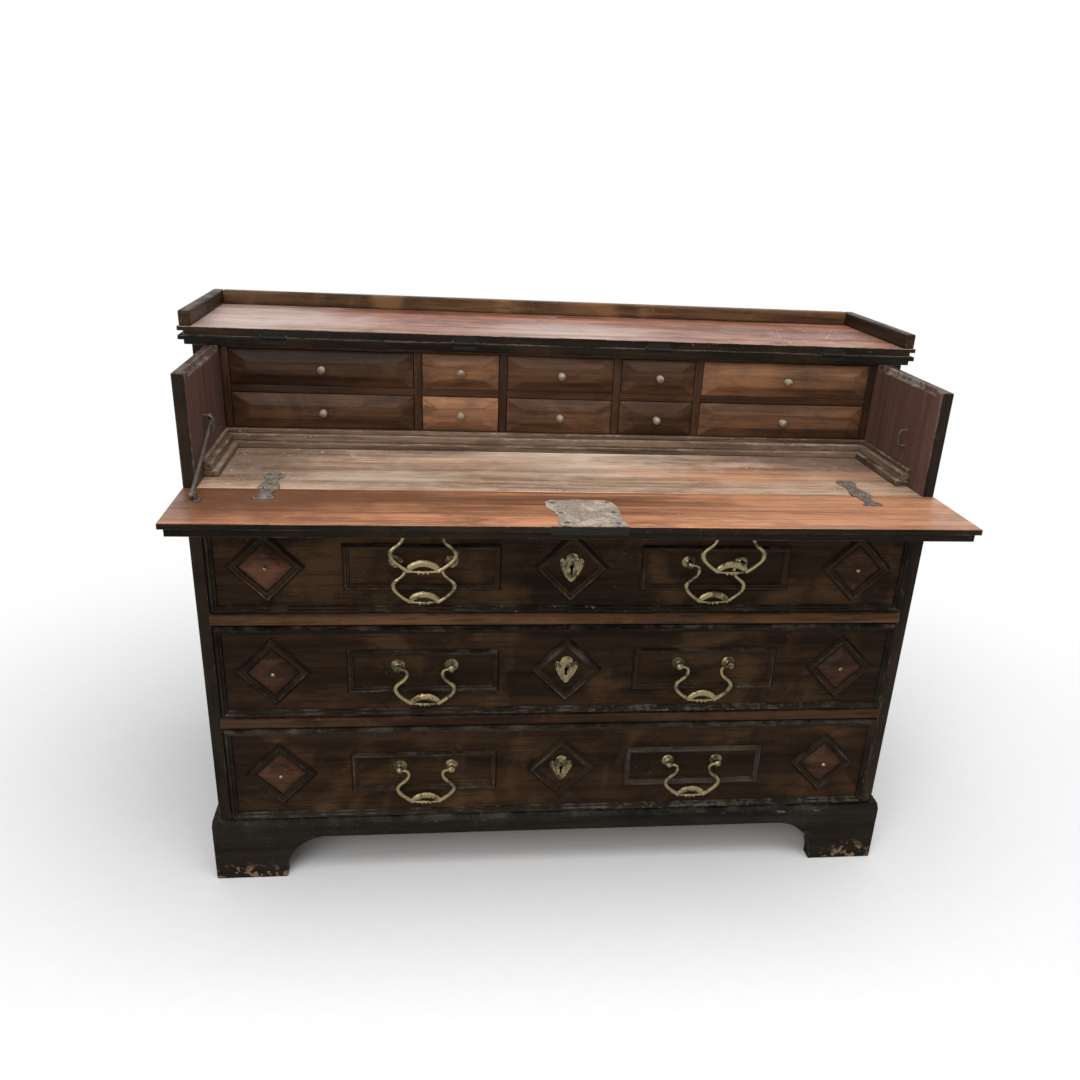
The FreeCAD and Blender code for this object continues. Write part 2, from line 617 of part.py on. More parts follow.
def sphere_cap(name, x_text, z_text):
    """Domed nail head on the flat of a raised lozenge."""
    ball = sphere(name + "_ball", "stud_radius", (x_text, "front_y - core_proud", z_text))
    keep = box(name + "_keep", ("4 * stud_radius", "2 * stud_radius", "4 * stud_radius"),
               (f"{x_text} - 2 * stud_radius", "front_y - core_proud - 2 * stud_radius",
                f"{z_text} - 2 * stud_radius"))
    cap = doc.addObject("Part::Common", name)
    cap.Base = ball
    cap.Tool = keep
    return cap


def drawer_lock(label, high, key_z):
    """Lock case behind the front, with its keyhole and the channel for the bolt, and the bolt."""
    start = "front_y + front_thick"
    case = box(label + "_lock_case", ("lock_width", "lock_thick", "lock_height"),
               ("-lock_width / 2", start, f"{high} - lock_height"))
    channel = box(label + "_lock_channel",
                  ("bolt_width + 2 * bolt_play", "bolt_thick + 2 * bolt_play",
                   "bolt_length + bolt_play + tool_over"),
                  ("-bolt_width / 2 - bolt_play", "lock_y - bolt_thick / 2 - bolt_play",
                   f"{high} - bolt_length - bolt_play"))
    tools = keyhole(label + "_lock_key", f"{start} - tool_over", key_z, "lock_thick / 3")
    node(label + "_lock", cut(label + "_lock_cut", case, channel, *tools))
    node(label + "_lock_bolt", box(label + "_bolt", ("bolt_width", "bolt_thick", "bolt_length"),
                                   ("-bolt_width / 2", "lock_y - bolt_thick / 2", f"{high} - bolt_length")))


def long_drawer(label, low, high):
    bottom = f"({low} + drawer_seat)"
    top = f"({high} - drawer_gap)"
    middle = f"(({low} + {high}) / 2)"
    drawer_front(label, bottom, top, middle)
    drawer_trim(label, bottom, top, middle)
    drawer_box(label, bottom, top)
    drawer_brass(label, middle)
    drawer_lock(label, top, middle)
    for name, sign in (("left", "-"), ("right", "")):
        pivot = (f"{sign}post_offset", "front_y - pivot_reach", f"{middle} + post_rise")
        bail(f"{label}_bail_{name}", pivot)


# Fall front

STRAPS = (("left", "-strap_offset"), ("right", "strap_offset"))


def barrel_notch(name, x_text, y_text):
    """Room in a board's edge for one strap hinge's barrel."""
    room = "strap_barrel + barrel_play + tool_over"
    return box(name, ("strap_width + 2 * barrel_play", room, room),
               (f"{x_text} - strap_width / 2 - barrel_play", y_text,
                "writing_height - strap_barrel - barrel_play"))


def fall_board():
    width = "case_width"
    lip = box("fall_lip_board", (width, "fall_depth", "fall_lip"),
              ("-half_width", "fall_front_y", "writing_height - fall_lip"))
    core = box("fall_core", (f"{width} - 2 * fall_step", "fall_depth - fall_step", "fall_thick"),
               ("-half_width + fall_step", "fall_front_y + fall_step", "fall_under"))
    tools = [barrel_notch(f"fall_notch_{name}", x_text, "hinge_y - strap_barrel - barrel_play")
             for name, x_text in STRAPS]
    front = "fall_front_y - tool_over"
    tools.append(box("fall_lock_pocket",
                     ("lock_width + 2 * bolt_play", "lock_height + bolt_play + tool_over",
                      "lock_thick + bolt_play + tool_over"),
                     ("-lock_width / 2 - bolt_play", front, "writing_height - lock_thick - bolt_play")))
    tools.append(box("fall_edge_pocket", ("plate_width", "edge_plate + tool_over", "lock_thick + tool_over"),
                     ("-plate_width / 2", front, "writing_height - lock_thick")))
    node("fall_board", cut("fall_cut", fuse("fall_body", lip, core), *tools))


def fall_lock():
    """Lock sunk in the front edge of the fall, its cover plate, edge plate and sliding bolt."""
    middle = "writing_height - lock_thick / 2"
    case = box("fall_lock_case", ("lock_width", "lock_height", "lock_thick"),
               ("-lock_width / 2", "fall_front_y", "writing_height - lock_thick"))
    cover = box("fall_lock_cover", ("plate_width", "plate_depth", "plate_thick"),
                ("-plate_width / 2", "fall_front_y", "writing_height"))
    edge = box("fall_lock_edge", ("plate_width", "edge_plate", "lock_thick - edge_drop"),
               ("-plate_width / 2", "fall_front_y", "writing_height - lock_thick + edge_drop"))
    channel = box("fall_lock_channel",
                  ("bolt_width + 2 * bolt_play", "bolt_length + bolt_play + tool_over",
                   "bolt_thick + 2 * bolt_play"),
                  ("-bolt_width / 2 - bolt_play", "fall_front_y - tool_over",
                   f"{middle} - bolt_thick / 2 - bolt_play"))
    node("fall_lock", cut("fall_lock_cut", fuse("fall_lock_body", case, cover, edge), channel))
    node("fall_lock_bolt", box("fall_bolt", ("bolt_width", "bolt_length", "bolt_thick"),
                               ("-bolt_width / 2", "fall_front_y", f"{middle} - bolt_thick / 2")))


def strap_leaf(name, x_text, towards, length, knuckles):
    """One leaf of a strap hinge with its knuckles; towards is +1 over the bed, -1 over the fall."""
    left = f"{x_text} - strap_width / 2"
    start = "hinge_y + strap_start" if towards > 0 else f"hinge_y - {length}"
    pieces = [box(name + "_plate", ("strap_width", f"{length} - strap_start", "strap_thick"),
                  (left, start, "writing_height"))]
    tab_y = "hinge_y" if towards > 0 else "hinge_y - strap_start"
    for index, (share, part) in enumerate(knuckles):
        at = f"{left} + strap_width * {share} + barrel_play / 2"
        wide = f"strap_width * {part} - barrel_play"
        pieces.append(box(f"{name}_tab_{index}", (wide, "strap_start", "strap_thick"),
                          (at, tab_y, "writing_height")))
        pieces.append(cylinder(f"{name}_knuckle_{index}", "strap_barrel", wide,
                               (at, "hinge_y", "writing_height"), "x"))
    bore = cylinder(name + "_bore", "hinge_pin + pin_play", "strap_width",
                    (left, "hinge_y", "writing_height"), "x")
    return cut(name, fuse(name + "_body", *pieces), bore)


OUTER_KNUCKLES = ((0, 0.3), (0.7, 0.3))
MIDDLE_KNUCKLE = ((0.3, 0.4),)


def guide(name, sign):
    """Iron loop on the inside of a case side that the stay slides through."""
    wall = "-inner_half" if sign < 0 else "inner_half - guide_reach"
    bridge = "-inner_half + guide_reach - guide_bar" if sign < 0 else "inner_half - guide_reach"
    y_text = "front_y + guide_back - guide_width / 2"
    low = "guide_z - guide_low"
    high = "guide_z + guide_high"
    arm = ("guide_reach", "guide_width", "guide_bar")
    return fuse(name, box(name + "_foot", arm, (wall, y_text, f"{low} - guide_bar")),
                box(name + "_head", arm, (wall, y_text, high)),
                box(name + "_bridge", ("guide_bar", "guide_width", f"{high} - ({low})"),
                    (bridge, y_text, low)))


def case_ironwork():
    """Bed leaves and pins of the strap hinges, and the two stay guides."""
    pieces = []
    for name, x_text in STRAPS:
        pieces.append(strap_leaf(f"bed_strap_{name}", x_text, 1, "strap_bed", OUTER_KNUCKLES))
        pieces.append(cylinder(f"strap_pin_{name}", "hinge_pin", "strap_width",
                               (f"{x_text} - strap_width / 2", "hinge_y", "writing_height"), "x"))
    node("case_ironwork", *pieces, guide("guide_left", -1), guide("guide_right", 1))


def fall_ironwork():
    """Fall leaves of the strap hinges and the bracket with the pivot of the stay."""
    pieces = []
    for name, x_text in STRAPS:
        pieces.append(strap_leaf(f"fall_strap_{name}", x_text, -1, "strap_fall", MIDDLE_KNUCKLE))
    lug_x = "-stay_x + eye_thick / 2 + lug_gap"
    foot = box("stay_foot", ("3 * lug_thick", "4 * eye_radius", "strap_thick"),
               (lug_x, "stay_y - 2 * eye_radius", "writing_height"))
    lug = box("stay_lug", ("lug_thick", "2 * eye_radius", "stay_lift + eye_radius"),
              (lug_x, "stay_y - eye_radius", "writing_height"))
    pin = cylinder("stay_pin", "wire_radius", "eye_thick + 2 * lug_gap", (lug_x, "stay_y", "stay_z"), "-x")
    node("fall_ironwork", *pieces, fuse("stay_bracket", foot, lug, pin))


def fall_stay():
    """Round iron stay: eye on the fall's pivot, rod through the guide, hooked end behind it."""
    rise = size("guide_lift") - size("stay_lift")
    run = size("guide_back") + size("hinge_gap") + size("stay_reach")
    way = FreeCAD.Vector(0, run, rise).normalize()
    across = FreeCAD.Vector(0, -way.z, way.y)
    end = way * (math.hypot(run, rise) + size("stay_over"))
    root = way * (size("eye_radius") - size("stay_radius") / 2)
    rod = rounded_path([root, end, end + across * size("stay_hook")], size("stay_bend"))
    half = size("eye_thick") / 2
    along = FreeCAD.Vector(1, 0, 0)
    ring = Part.makeCylinder(size("eye_radius"), size("eye_thick"), along * -half, along)
    hole_radius = size("wire_radius") + size("pin_play")
    hole = Part.makeCylinder(hole_radius, 4 * half, along * (-2 * half), along)
    solid = doc.addObject("Part::Feature", "fall_stay_rod")
    solid.Shape = tube(rod, size("stay_radius")).fuse(ring).cut(hole)
    put(solid, ("-stay_x", "stay_y", "stay_z"))
    node("fall_stay", solid)


def fall_handles():
    pieces = []
    y_text = "hinge_y - fall_handle_reach"
    for name, sign in (("left", "-"), ("right", "")):
        pieces += post_pair(f"fall_{name}", f"{sign}post_offset", y_text, "fall_under", "-z",
                            "fall_pivot_reach")
        bail(f"fall_bail_{name}", (f"{sign}post_offset", y_text, "fall_under - fall_pivot_reach"))
    node("fall_handle_posts", *pieces)


# Folding lid

LID_HINGES = (("outer_left", "-outer_hinge"), ("inner_left", "-inner_hinge"),
              ("inner_right", "inner_hinge"), ("outer_right", "outer_hinge"))


def leaf_notch(name, x_text):
    """Room at the meeting corner of both top boards for one lid hinge's barrel."""
    reach = "(leaf_barrel + barrel_play)"
    return box(name, ("leaf_length + 2 * barrel_play", f"2 * {reach}", f"2 * {reach}"),
               (f"{x_text} - leaf_length / 2 - barrel_play", f"lid_hinge_y - {reach}",
                f"lid_hinge_z - {reach}"))


def lid_leaf(name, x_text, up, knuckles):
    """One leaf of a lid hinge on the front edge of its board, with its knuckles."""
    left = f"{x_text} - leaf_length / 2"
    leaf_y = "lid_hinge_y + edge_gap - leaf_thick"
    low = "lid_hinge_z + leaf_barrel + barrel_play" if up else "lid_hinge_z - leaf_height"
    tall = "leaf_height - leaf_barrel - barrel_play"
    pieces = [box(name + "_plate", ("leaf_length", "leaf_thick", tall), (left, leaf_y, low))]
    tab_low = "lid_hinge_z" if up else "lid_hinge_z - leaf_barrel - barrel_play"
    for index, (share, part) in enumerate(knuckles):
        at = f"{left} + leaf_length * {share} + barrel_play / 2"
        wide = f"leaf_length * {part} - barrel_play"
        pieces.append(box(f"{name}_tab_{index}", (wide, "leaf_thick", "leaf_barrel + barrel_play"),
                          (at, leaf_y, tab_low)))
        pieces.append(cylinder(f"{name}_knuckle_{index}", "leaf_barrel", wide,
                               (at, "lid_hinge_y", "lid_hinge_z"), "x"))
    bore = cylinder(name + "_bore", "hinge_pin + pin_play", "leaf_length",
                    (left, "lid_hinge_y", "lid_hinge_z"), "x")
    return cut(name, fuse(name + "_body", *pieces), bore)


def lid_hinges():
    fixed = []
    moving = []
    for name, x_text in LID_HINGES:
        fixed.append(lid_leaf(f"top_leaf_{name}", x_text, False, OUTER_KNUCKLES))
        fixed.append(cylinder(f"lid_pin_{name}", "hinge_pin", "leaf_length",
                              (f"{x_text} - leaf_length / 2", "lid_hinge_y", "lid_hinge_z"), "x"))
        moving.append(lid_leaf(f"lid_leaf_{name}", x_text, True, MIDDLE_KNUCKLE))
    node("top_hinge_leaves", *fixed)
    node("lid_hinge_leaves", *moving)


def lid():
    """Lid folded back onto the fixed top: board, then a fascia that stands on three sides."""
    front = "lid_hinge_y + edge_gap"
    depth = "(lid_reach - edge_gap)"
    core = box("lid_core", ("2 * (top_half - nib_inset)", f"{depth} - nib_inset", "lid_thick"),
               ("-top_half + nib_inset", front, "lid_hinge_z"))
    nib = box("lid_nib", ("2 * top_half", depth, "lid_thick / 2"),
              ("-top_half", front, "lid_hinge_z + lid_thick / 2"))
    notches = [leaf_notch(f"lid_notch_{name}", x_text) for name, x_text in LID_HINGES]
    keep_y = "lid_hinge_y + lid_line + hinge_gap + lock_thick / 2 - bolt_thick / 2 - mortise_play"
    keep = box("lid_keep",
               ("bolt_width + 2 * mortise_play", "bolt_thick + 2 * mortise_play",
                "bolt_throw + mortise_spare"),
               ("-bolt_width / 2 - mortise_play", keep_y,
                "lid_hinge_z + lid_thick - bolt_throw - mortise_play"))
    node("lid_board", cut("lid_cut", fuse("lid_body", core, nib), *notches, keep))
    base = "lid_hinge_z + lid_thick"
    outer = "(top_half - fascia_inset)"
    run = f"({depth} - fascia_inset - fascia_thick)"
    strips = [box("fascia_back", (f"2 * {outer}", "fascia_thick", "fascia_height"),
                  (f"-{outer}", "lid_back_y - fascia_inset - fascia_thick", base))]
    for name, x_text in (("left", f"-{outer}"), ("right", f"{outer} - fascia_thick")):
        strips.append(box(f"fascia_{name}", ("fascia_thick", run, "fascia_height"), (x_text, front, base)))
    node("lid_fascia", *strips)


def build():
    fill_sheet()
    side("side_left", -1)
    side("side_right", 1)
    back_boards()
    carcass_boards()
    drawer_rails()
    writing_bed()
    plinth()
    fixed_top()
    nest_frame()
    inner_mouldings()
    for row, row_name in enumerate(("lower", "upper")):
        for bay in range(len(BAYS)):
            small_drawer(f"small_drawer_{row_name}_{bay + 1}", bay, row)
    long_drawer("lower_drawer", "plinth_height", "lower_rail_centre - rail_height / 2")
    long_drawer("middle_drawer", "lower_rail_centre + rail_height / 2",
                "upper_rail_centre - rail_height / 2")
    long_drawer("upper_drawer", "upper_rail_centre + rail_height / 2", "upper_ceiling")
    fall_board()
    fall_lock()
    case_ironwork()
    fall_ironwork()
    fall_stay()
    fall_handles()
    lid_hinges()
    lid()
    doc.recompute()


def check():
    """Stop if anything failed to build."""
    for item in doc.Objects:
        if {"Invalid", "Error"} & set(item.State):
            raise RuntimeError(f"{item.Label} did not build")
    for piece in NODES:
        if piece.Shape.isNull() or not piece.Shape.isValid():
            raise RuntimeError(f"{piece.Label} has no valid shape")


def export():
    os.makedirs("parts", exist_ok=True)
    for piece in NODES:
        piece.Shape.exportStep(f"parts/{piece.Label}.step")
        print(piece.Label, len(piece.Shape.Solids), "solids", round(piece.Shape.Volume / 1000, 1), "cm3")


build()
check()
export()
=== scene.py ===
import json
import math
from collections import namedtuple

import bpy
from bpy.props import FloatProperty, FloatVectorProperty, PointerProperty
from mathutils import Matrix, Vector


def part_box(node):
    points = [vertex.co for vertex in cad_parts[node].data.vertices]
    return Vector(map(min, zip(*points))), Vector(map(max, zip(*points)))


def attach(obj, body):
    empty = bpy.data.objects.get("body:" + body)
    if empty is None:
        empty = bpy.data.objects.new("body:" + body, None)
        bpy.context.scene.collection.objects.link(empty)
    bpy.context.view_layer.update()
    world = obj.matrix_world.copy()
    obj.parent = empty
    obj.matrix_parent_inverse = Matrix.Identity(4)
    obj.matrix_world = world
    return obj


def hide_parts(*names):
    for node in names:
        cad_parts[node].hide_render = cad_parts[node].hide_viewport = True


bl_info = {
    "name": "Chest escritoire",
    "version": (1, 0, 0),
    "blender": (4, 5, 0),
    "location": "View3D > Sidebar > Escritoire",
    "description": "Worn walnut, brass and iron of a chest escritoire, built round its packed frame",
    "category": "Object",
}

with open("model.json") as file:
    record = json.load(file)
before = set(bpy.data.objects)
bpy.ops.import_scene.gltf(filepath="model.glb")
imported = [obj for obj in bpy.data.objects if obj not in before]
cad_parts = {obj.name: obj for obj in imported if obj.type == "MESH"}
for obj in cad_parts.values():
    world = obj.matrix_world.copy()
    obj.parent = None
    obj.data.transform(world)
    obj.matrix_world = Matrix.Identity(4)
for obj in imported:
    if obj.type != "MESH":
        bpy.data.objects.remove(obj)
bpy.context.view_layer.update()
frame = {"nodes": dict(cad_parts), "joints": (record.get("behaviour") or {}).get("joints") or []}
LEVELS = ("lower", "middle", "upper")
HANDS = ("left", "right")
X, Y, Z = 0, 1, 2


def length(name, description, default):
    """A size in metres."""
    return FloatProperty(name=name, description=description, default=default, min=0.0, unit="LENGTH")


def colour(name, description, default):
    """A colour in linear light."""
    return FloatVectorProperty(name=name, description=description, default=default, size=3,
                               min=0.0, max=1.0, subtype="COLOR")


class EscritoireSizes(bpy.types.PropertyGroup):
    """Sizes of the worked details, in metres"""
    edge_ease: length("Edge ease", "Rounding of the board edges", 0.0012)
    wear_band: length("Wear band", "Width of the worn band along an edge", 0.007)
    rail_round: length("Rail round", "Rounding of the nose of a drawer rail", 0.0088)
    border_width: length("Border width", "Width of the moulding round a drawer front", 0.014)
    border_proud: length("Border height", "Height of the moulding round a drawer front", 0.008)
    frame_width: length("Panel frame width", "Width of the moulding round a panel", 0.0115)
    frame_proud: length("Panel frame height", "Height of the panel and lozenge mouldings", 0.007)
    panel_width: length("Panel width", "Width of the framed panel behind a handle", 0.262)
    panel_height: length("Panel height", "Height of the framed panel behind a handle", 0.082)
    panel_offset: length("Panel offset", "Distance of a panel from the middle", 0.2502)
    lozenge_side: length("Lozenge side", "Side of a lozenge frame", 0.091)
    lozenge_frame: length("Lozenge frame width", "Width of the moulding of a lozenge", 0.014)
    lozenge_core: length("Lozenge core", "Side of the raised lozenge", 0.060)
    lozenge_flat: length("Lozenge slope", "Width of the slope of the raised lozenge", 0.012)
    core_proud: length("Lozenge height", "Height of the raised lozenge", 0.010)
    lozenge_offset: length("Lozenge offset", "Distance of an outer lozenge from the middle", 0.504)
    post_spacing: length("Post spacing", "Distance between the two posts of a handle", 0.092)
    hip_rise: length("Hip height", "Height of a small drawer's hipped front", 0.009)
    hip_side: length("Hip length", "Slope at the ends of a small drawer's front", 0.030)
    hip_top: length("Hip depth", "Slope along a small drawer's front", 0.019)


class EscritoireColours(bpy.types.PropertyGroup):
    """Colours of the woods and metals"""
    walnut_dark: colour("Walnut, dark", "Dark figure of the drawer fronts", (0.0095, 0.0058, 0.0034))
    walnut_light: colour("Walnut, light", "Light figure of the drawer fronts", (0.0350, 0.0185, 0.0090))
    walnut_red: colour("Walnut, red", "Rubbed red patches of the dark wood", (0.086, 0.0440, 0.0195))
    rail_light: colour("Rail, light", "Light figure of the drawer rails", (0.086, 0.041, 0.0185))
    ebony_dark: colour("Ebonised, dark", "Blackened mouldings", (0.0065, 0.0056, 0.0042))
    ebony_light: colour("Ebonised, light", "Thin places of the blackening", (0.021, 0.0155, 0.0105))
    ebony_worn: colour("Ebonised, worn", "Rubbed edges of the blackened mouldings", (0.105, 0.088, 0.068))
    moulding_dark: colour("Moulding, dark", "Dark figure of the small frames", (0.0105, 0.0078, 0.0056))
    moulding_light: colour("Moulding, light", "Light figure of the small frames", (0.036, 0.0205, 0.0115))
    core_light: colour("Lozenge, light", "Light figure of the raised lozenges", (0.068, 0.0295, 0.0160))
    side_dark: colour("Side, dark", "Dark figure of the case sides", (0.020, 0.0105, 0.0080))
    side_light: colour("Side, light", "Light figure of the case sides", (0.070, 0.036, 0.027))
    inner_dark: colour("Side, inner dark", "Dark figure inside the sides", (0.072, 0.038, 0.031))
    inner_light: colour("Side, inner light", "Light figure inside the sides", (0.132, 0.070, 0.057))
    fascia_light: colour("Fascia, light", "Light figure of the lid's rim", (0.060, 0.030, 0.0145))
    red_dark: colour("Red walnut, dark", "Dark figure of the inside", (0.022, 0.0115, 0.0070))
    red_light: colour("Red walnut, light", "Light figure of the inside", (0.104, 0.050, 0.0245))
    fall_dark: colour("Fall, dark", "Dark figure of the fall", (0.115, 0.045, 0.0215))
    fall_light: colour("Fall, light", "Light figure of the fall", (0.57, 0.250, 0.122))
    fall_pale: colour("Fall, pale", "Faded end of the fall", (0.56, 0.275, 0.155))
    # The dark bed colour is also laid on the right rear of the bed as painted shade
    bed_dark: colour("Bed, dark", "Dark figure of the writing bed", (0.098, 0.060, 0.040))
    bed_light: colour("Bed, light", "Light figure of the writing bed", (0.49, 0.322, 0.217))
    bed_pale: colour("Bed, pale", "Bleached places of the writing bed", (0.56, 0.47, 0.37))
    lid_dark: colour("Lid, dark", "Dark figure of the folded lid", (0.088, 0.031, 0.021))
    lid_light: colour("Lid, light", "Light figure of the folded lid", (0.50, 0.215, 0.130))
    # Pale colour of the folded lid, also laid on its left end as a painted sheen
    lid_pale_and_sheen: colour("Lid, pale", "Faded end of the folded lid", (0.58, 0.475, 0.43))
    bare_dark: colour("Bare wood, dark", "Dark figure of the unpolished boards", (0.10, 0.056, 0.030))
    bare_light: colour("Bare wood, light", "Light figure of the unpolished boards", (0.27, 0.165, 0.092))
    worn: colour("Worn edge", "Wood laid bare on rubbed edges", (0.20, 0.125, 0.078))
    grey_worn: colour("Grey edge", "Rubbed edge gone grey", (0.31, 0.275, 0.24))
    chips: colour("Chips", "Small pale chips and specks", (0.66, 0.60, 0.52))
    dust: colour("Dust", "Dust lying on level faces", (0.42, 0.37, 0.32))
    brass: colour("Brass", "Rubbed brass", (0.270, 0.214, 0.114))
    brass_dark: colour("Brass, dark", "Brass gone dull in the hollows", (0.045, 0.040, 0.025))
    black_iron: colour("Black iron", "Blackened hinges", (0.012, 0.0110, 0.0098))
    iron: colour("Iron", "Forged iron", (0.060, 0.052, 0.047))
    iron_pale: colour("Iron, pale", "Bloom on the old lock plate", (0.56, 0.455, 0.36))
    knob: colour("Knob", "Turned pale knobs", (0.235, 0.188, 0.138))


def sizes():
    return bpy.context.scene.escritoire_sizes


def colours():
    return bpy.context.scene.escritoire_colours


# Shader helpers

def feed(tree, socket, value):
    """Link a socket, or set it to a plain value or to a colour by its name."""
    if isinstance(value, bpy.types.NodeSocket):
        tree.links.new(value, socket)
    elif socket.type == "RGBA":
        shade = getattr(colours(), value) if isinstance(value, str) else value
        socket.default_value = (*shade[:3], 1.0)
    else:
        socket.default_value = value


def wire(tree, node, **inputs):
    """Set or link a node's inputs by name."""
    for key, value in inputs.items():
        feed(tree, node.inputs[key.replace("_", " ")], value)
    return node


def put_node(tree, kind, settings=None, **inputs):
    """One node with its settings and inputs."""
    node = tree.nodes.new(kind)
    for key, value in (settings or {}).items():
        setattr(node, key, value)
    return wire(tree, node, **inputs)


def reckon(tree, kind, operation, values):
    """One node of arithmetic with its values in order."""
    node = put_node(tree, kind, {"operation": operation})
    for socket, value in zip(node.inputs, values):
        feed(tree, socket, value)
    return node.outputs


def sums(tree, operation, *values):
    """One step of arithmetic."""
    return reckon(tree, "ShaderNodeMath", operation, values)[0]


def vectors(tree, operation, *values):
    """One step of vector arithmetic."""
    outputs = reckon(tree, "ShaderNodeVectorMath", operation, values)
    return outputs["Value" if operation == "LENGTH" else "Vector"]


def times(tree, first, second):
    return sums(tree, "MULTIPLY", first, second)


def add_share(tree, value, share, base):
    """A share of one value on top of another."""
    return sums(tree, "MULTIPLY_ADD", value, share, base)


def blend(tree, share, first, second):
    """Mix of two colours."""
    node = put_node(tree, "ShaderNodeMix", {"data_type": "RGBA"})
    for index, value in ((0, share), (6, first), (7, second)):
        feed(tree, node.inputs[index], value)
    return node.outputs[2]


def tint(tree, shade, colour_name, mask, share):
    """Lay a colour over a shade where a mask shows it."""
    return blend(tree, times(tree, mask, share), shade, colour_name)


def ramp(tree, value, low, high):
    """Smooth step from one level to another."""
    return put_node(tree, "ShaderNodeMapRange", {"interpolation_type": "SMOOTHSTEP"},
                    Value=value, From_Min=low, From_Max=high).outputs[0]


def cloud(tree, place, scale, detail=4.0, roughness=0.55, distortion=0.0):
    """Noise value at a place."""
    return put_node(tree, "ShaderNodeTexNoise", None, Vector=place, Scale=scale, Detail=detail,
                    Roughness=roughness, Distortion=distortion).outputs["Fac"]


def mark(tree, name):
    """Value of a point attribute of the piece."""
    return put_node(tree, "ShaderNodeAttribute", {"attribute_name": name}).outputs["Fac"]


def object_place(tree):
    return put_node(tree, "ShaderNodeTexCoord").outputs["Object"]


# Shader groups

VECTOR_INPUTS = ("Grain", "Place", "Centre", "Span")


def new_group(name, inputs, outputs):
    """Empty node group: its tree, what comes in and the node that puts out."""
    tree = bpy.data.node_groups.new(name, "ShaderNodeTree")
    for title in inputs:
        kind = "NodeSocketVector" if title in VECTOR_INPUTS else "NodeSocketFloat"
        tree.interface.new_socket(title, in_out="INPUT", socket_type=kind)
    for title in outputs:
        tree.interface.new_socket(title, in_out="OUTPUT", socket_type="NodeSocketFloat")
    return tree, tree.nodes.new("NodeGroupInput").outputs, tree.nodes.new("NodeGroupOutput")


def grain_group():
    """Figure, pores, patches and stains of old wood."""
    tree, given, out = new_group("Wood grain", ("Grain", "Place"), ("Figure", "Pores", "Patch", "Stain"))
    broad = cloud(tree, given["Grain"], scale=11.0, detail=6.0, roughness=0.62, distortion=0.9)
    fine = cloud(tree, given["Grain"], scale=52.0, detail=5.0, roughness=0.65, distortion=0.3)
    figure = add_share(tree, fine, 0.45, times(tree, broad, 0.55))
    pores = cloud(tree, given["Grain"], scale=240.0, detail=2.0, roughness=0.5)
    patch = cloud(tree, given["Place"], scale=6.5, detail=5.0, roughness=0.6, distortion=0.6)
    halfway = vectors(tree, "ADD", given["Grain"], given["Place"])
    stain = cloud(tree, halfway, scale=10.0, detail=6.0, roughness=0.66, distortion=0.4)
    wire(tree, out, Figure=ramp(tree, figure, 0.36, 0.66), Pores=ramp(tree, pores, 0.55, 0.70),
         Patch=ramp(tree, patch, 0.47, 0.68), Stain=ramp(tree, stain, 0.48, 0.66))
    return tree


def wear_group():
    """Rubbed edges, from the edge mark of the piece and broken up by chips."""
    tree, given, out = new_group("Edge wear", ("Place", "Amount"), ("Wear",))
    chips = cloud(tree, given["Place"], scale=95.0, detail=5.0, roughness=0.7)
    runs = cloud(tree, given["Place"], scale=14.0, detail=3.0, roughness=0.6)
    broken = add_share(tree, chips, 0.55, times(tree, runs, 0.75))
    pressed = times(tree, mark(tree, "edge"), sums(tree, "ADD", broken, given["Amount"]))
    wire(tree, out, Wear=ramp(tree, pressed, 0.86, 1.22))
    return tree


def dust_group():
    """Dust on faces that look upwards, with bare places."""
    tree, given, out = new_group("Dust", ("Place", "Amount"), ("Dust",))
    normal = put_node(tree, "ShaderNodeTexCoord").outputs["Normal"]
    up = put_node(tree, "ShaderNodeSeparateXYZ", None, Vector=normal).outputs["Z"]
    lying = cloud(tree, given["Place"], scale=21.0, detail=7.0, roughness=0.68, distortion=0.5)
    share = times(tree, ramp(tree, up, 0.5, 0.95), ramp(tree, lying, 0.42, 0.78))
    wire(tree, out, Dust=times(tree, share, given["Amount"]))
    return tree


def speck_group():
    """Small chips and specks, gathered in some places."""
    tree, given, out = new_group("Specks", ("Place", "Scale", "Limit"), ("Specks",))
    small = cloud(tree, given["Place"], given["Scale"], detail=3.0, roughness=0.6)
    over = sums(tree, "SUBTRACT", small, given["Limit"])
    where = ramp(tree, cloud(tree, given["Place"], scale=7.0, detail=3.0), 0.42, 0.62)
    wire(tree, out, Specks=times(tree, ramp(tree, over, 0.0, 0.03), where))
    return tree


def spot_group():
    """Soft ragged spot round one place on a board: worn, stained and chipped places, and painted shade and
    sheen.
    """
    tree, given, out = new_group("Worn spot", ("Place", "Centre", "Span"), ("Spot",))
    away = vectors(tree, "SUBTRACT", given["Place"], given["Centre"])
    reach = vectors(tree, "LENGTH", vectors(tree, "DIVIDE", away, given["Span"]))
    ragged = cloud(tree, given["Place"], scale=9.0, detail=6.0, roughness=0.62, distortion=0.5)
    edge = add_share(tree, ragged, 1.1, sums(tree, "SUBTRACT", reach, 0.55))
    wire(tree, out, Spot=ramp(tree, edge, 1.15, 0.25))
    return tree


def pit_group():
    """Pits and dull bloom of old metal."""
    tree, given, out = new_group("Metal pits", ("Place", "Scale"), ("Pits", "Dull"))
    pits = cloud(tree, given["Place"], given["Scale"], detail=6.0, roughness=0.7)
    dull = cloud(tree, given["Place"], scale=60.0, detail=6.0, roughness=0.65, distortion=0.4)
    wire(tree, out, Pits=ramp(tree, pits, 0.44, 0.66), Dull=ramp(tree, dull, 0.40, 0.66))
    return tree


GROUPS = {"Wood grain": grain_group, "Edge wear": wear_group, "Dust": dust_group, "Specks": speck_group,
          "Worn spot": spot_group, "Metal pits": pit_group}


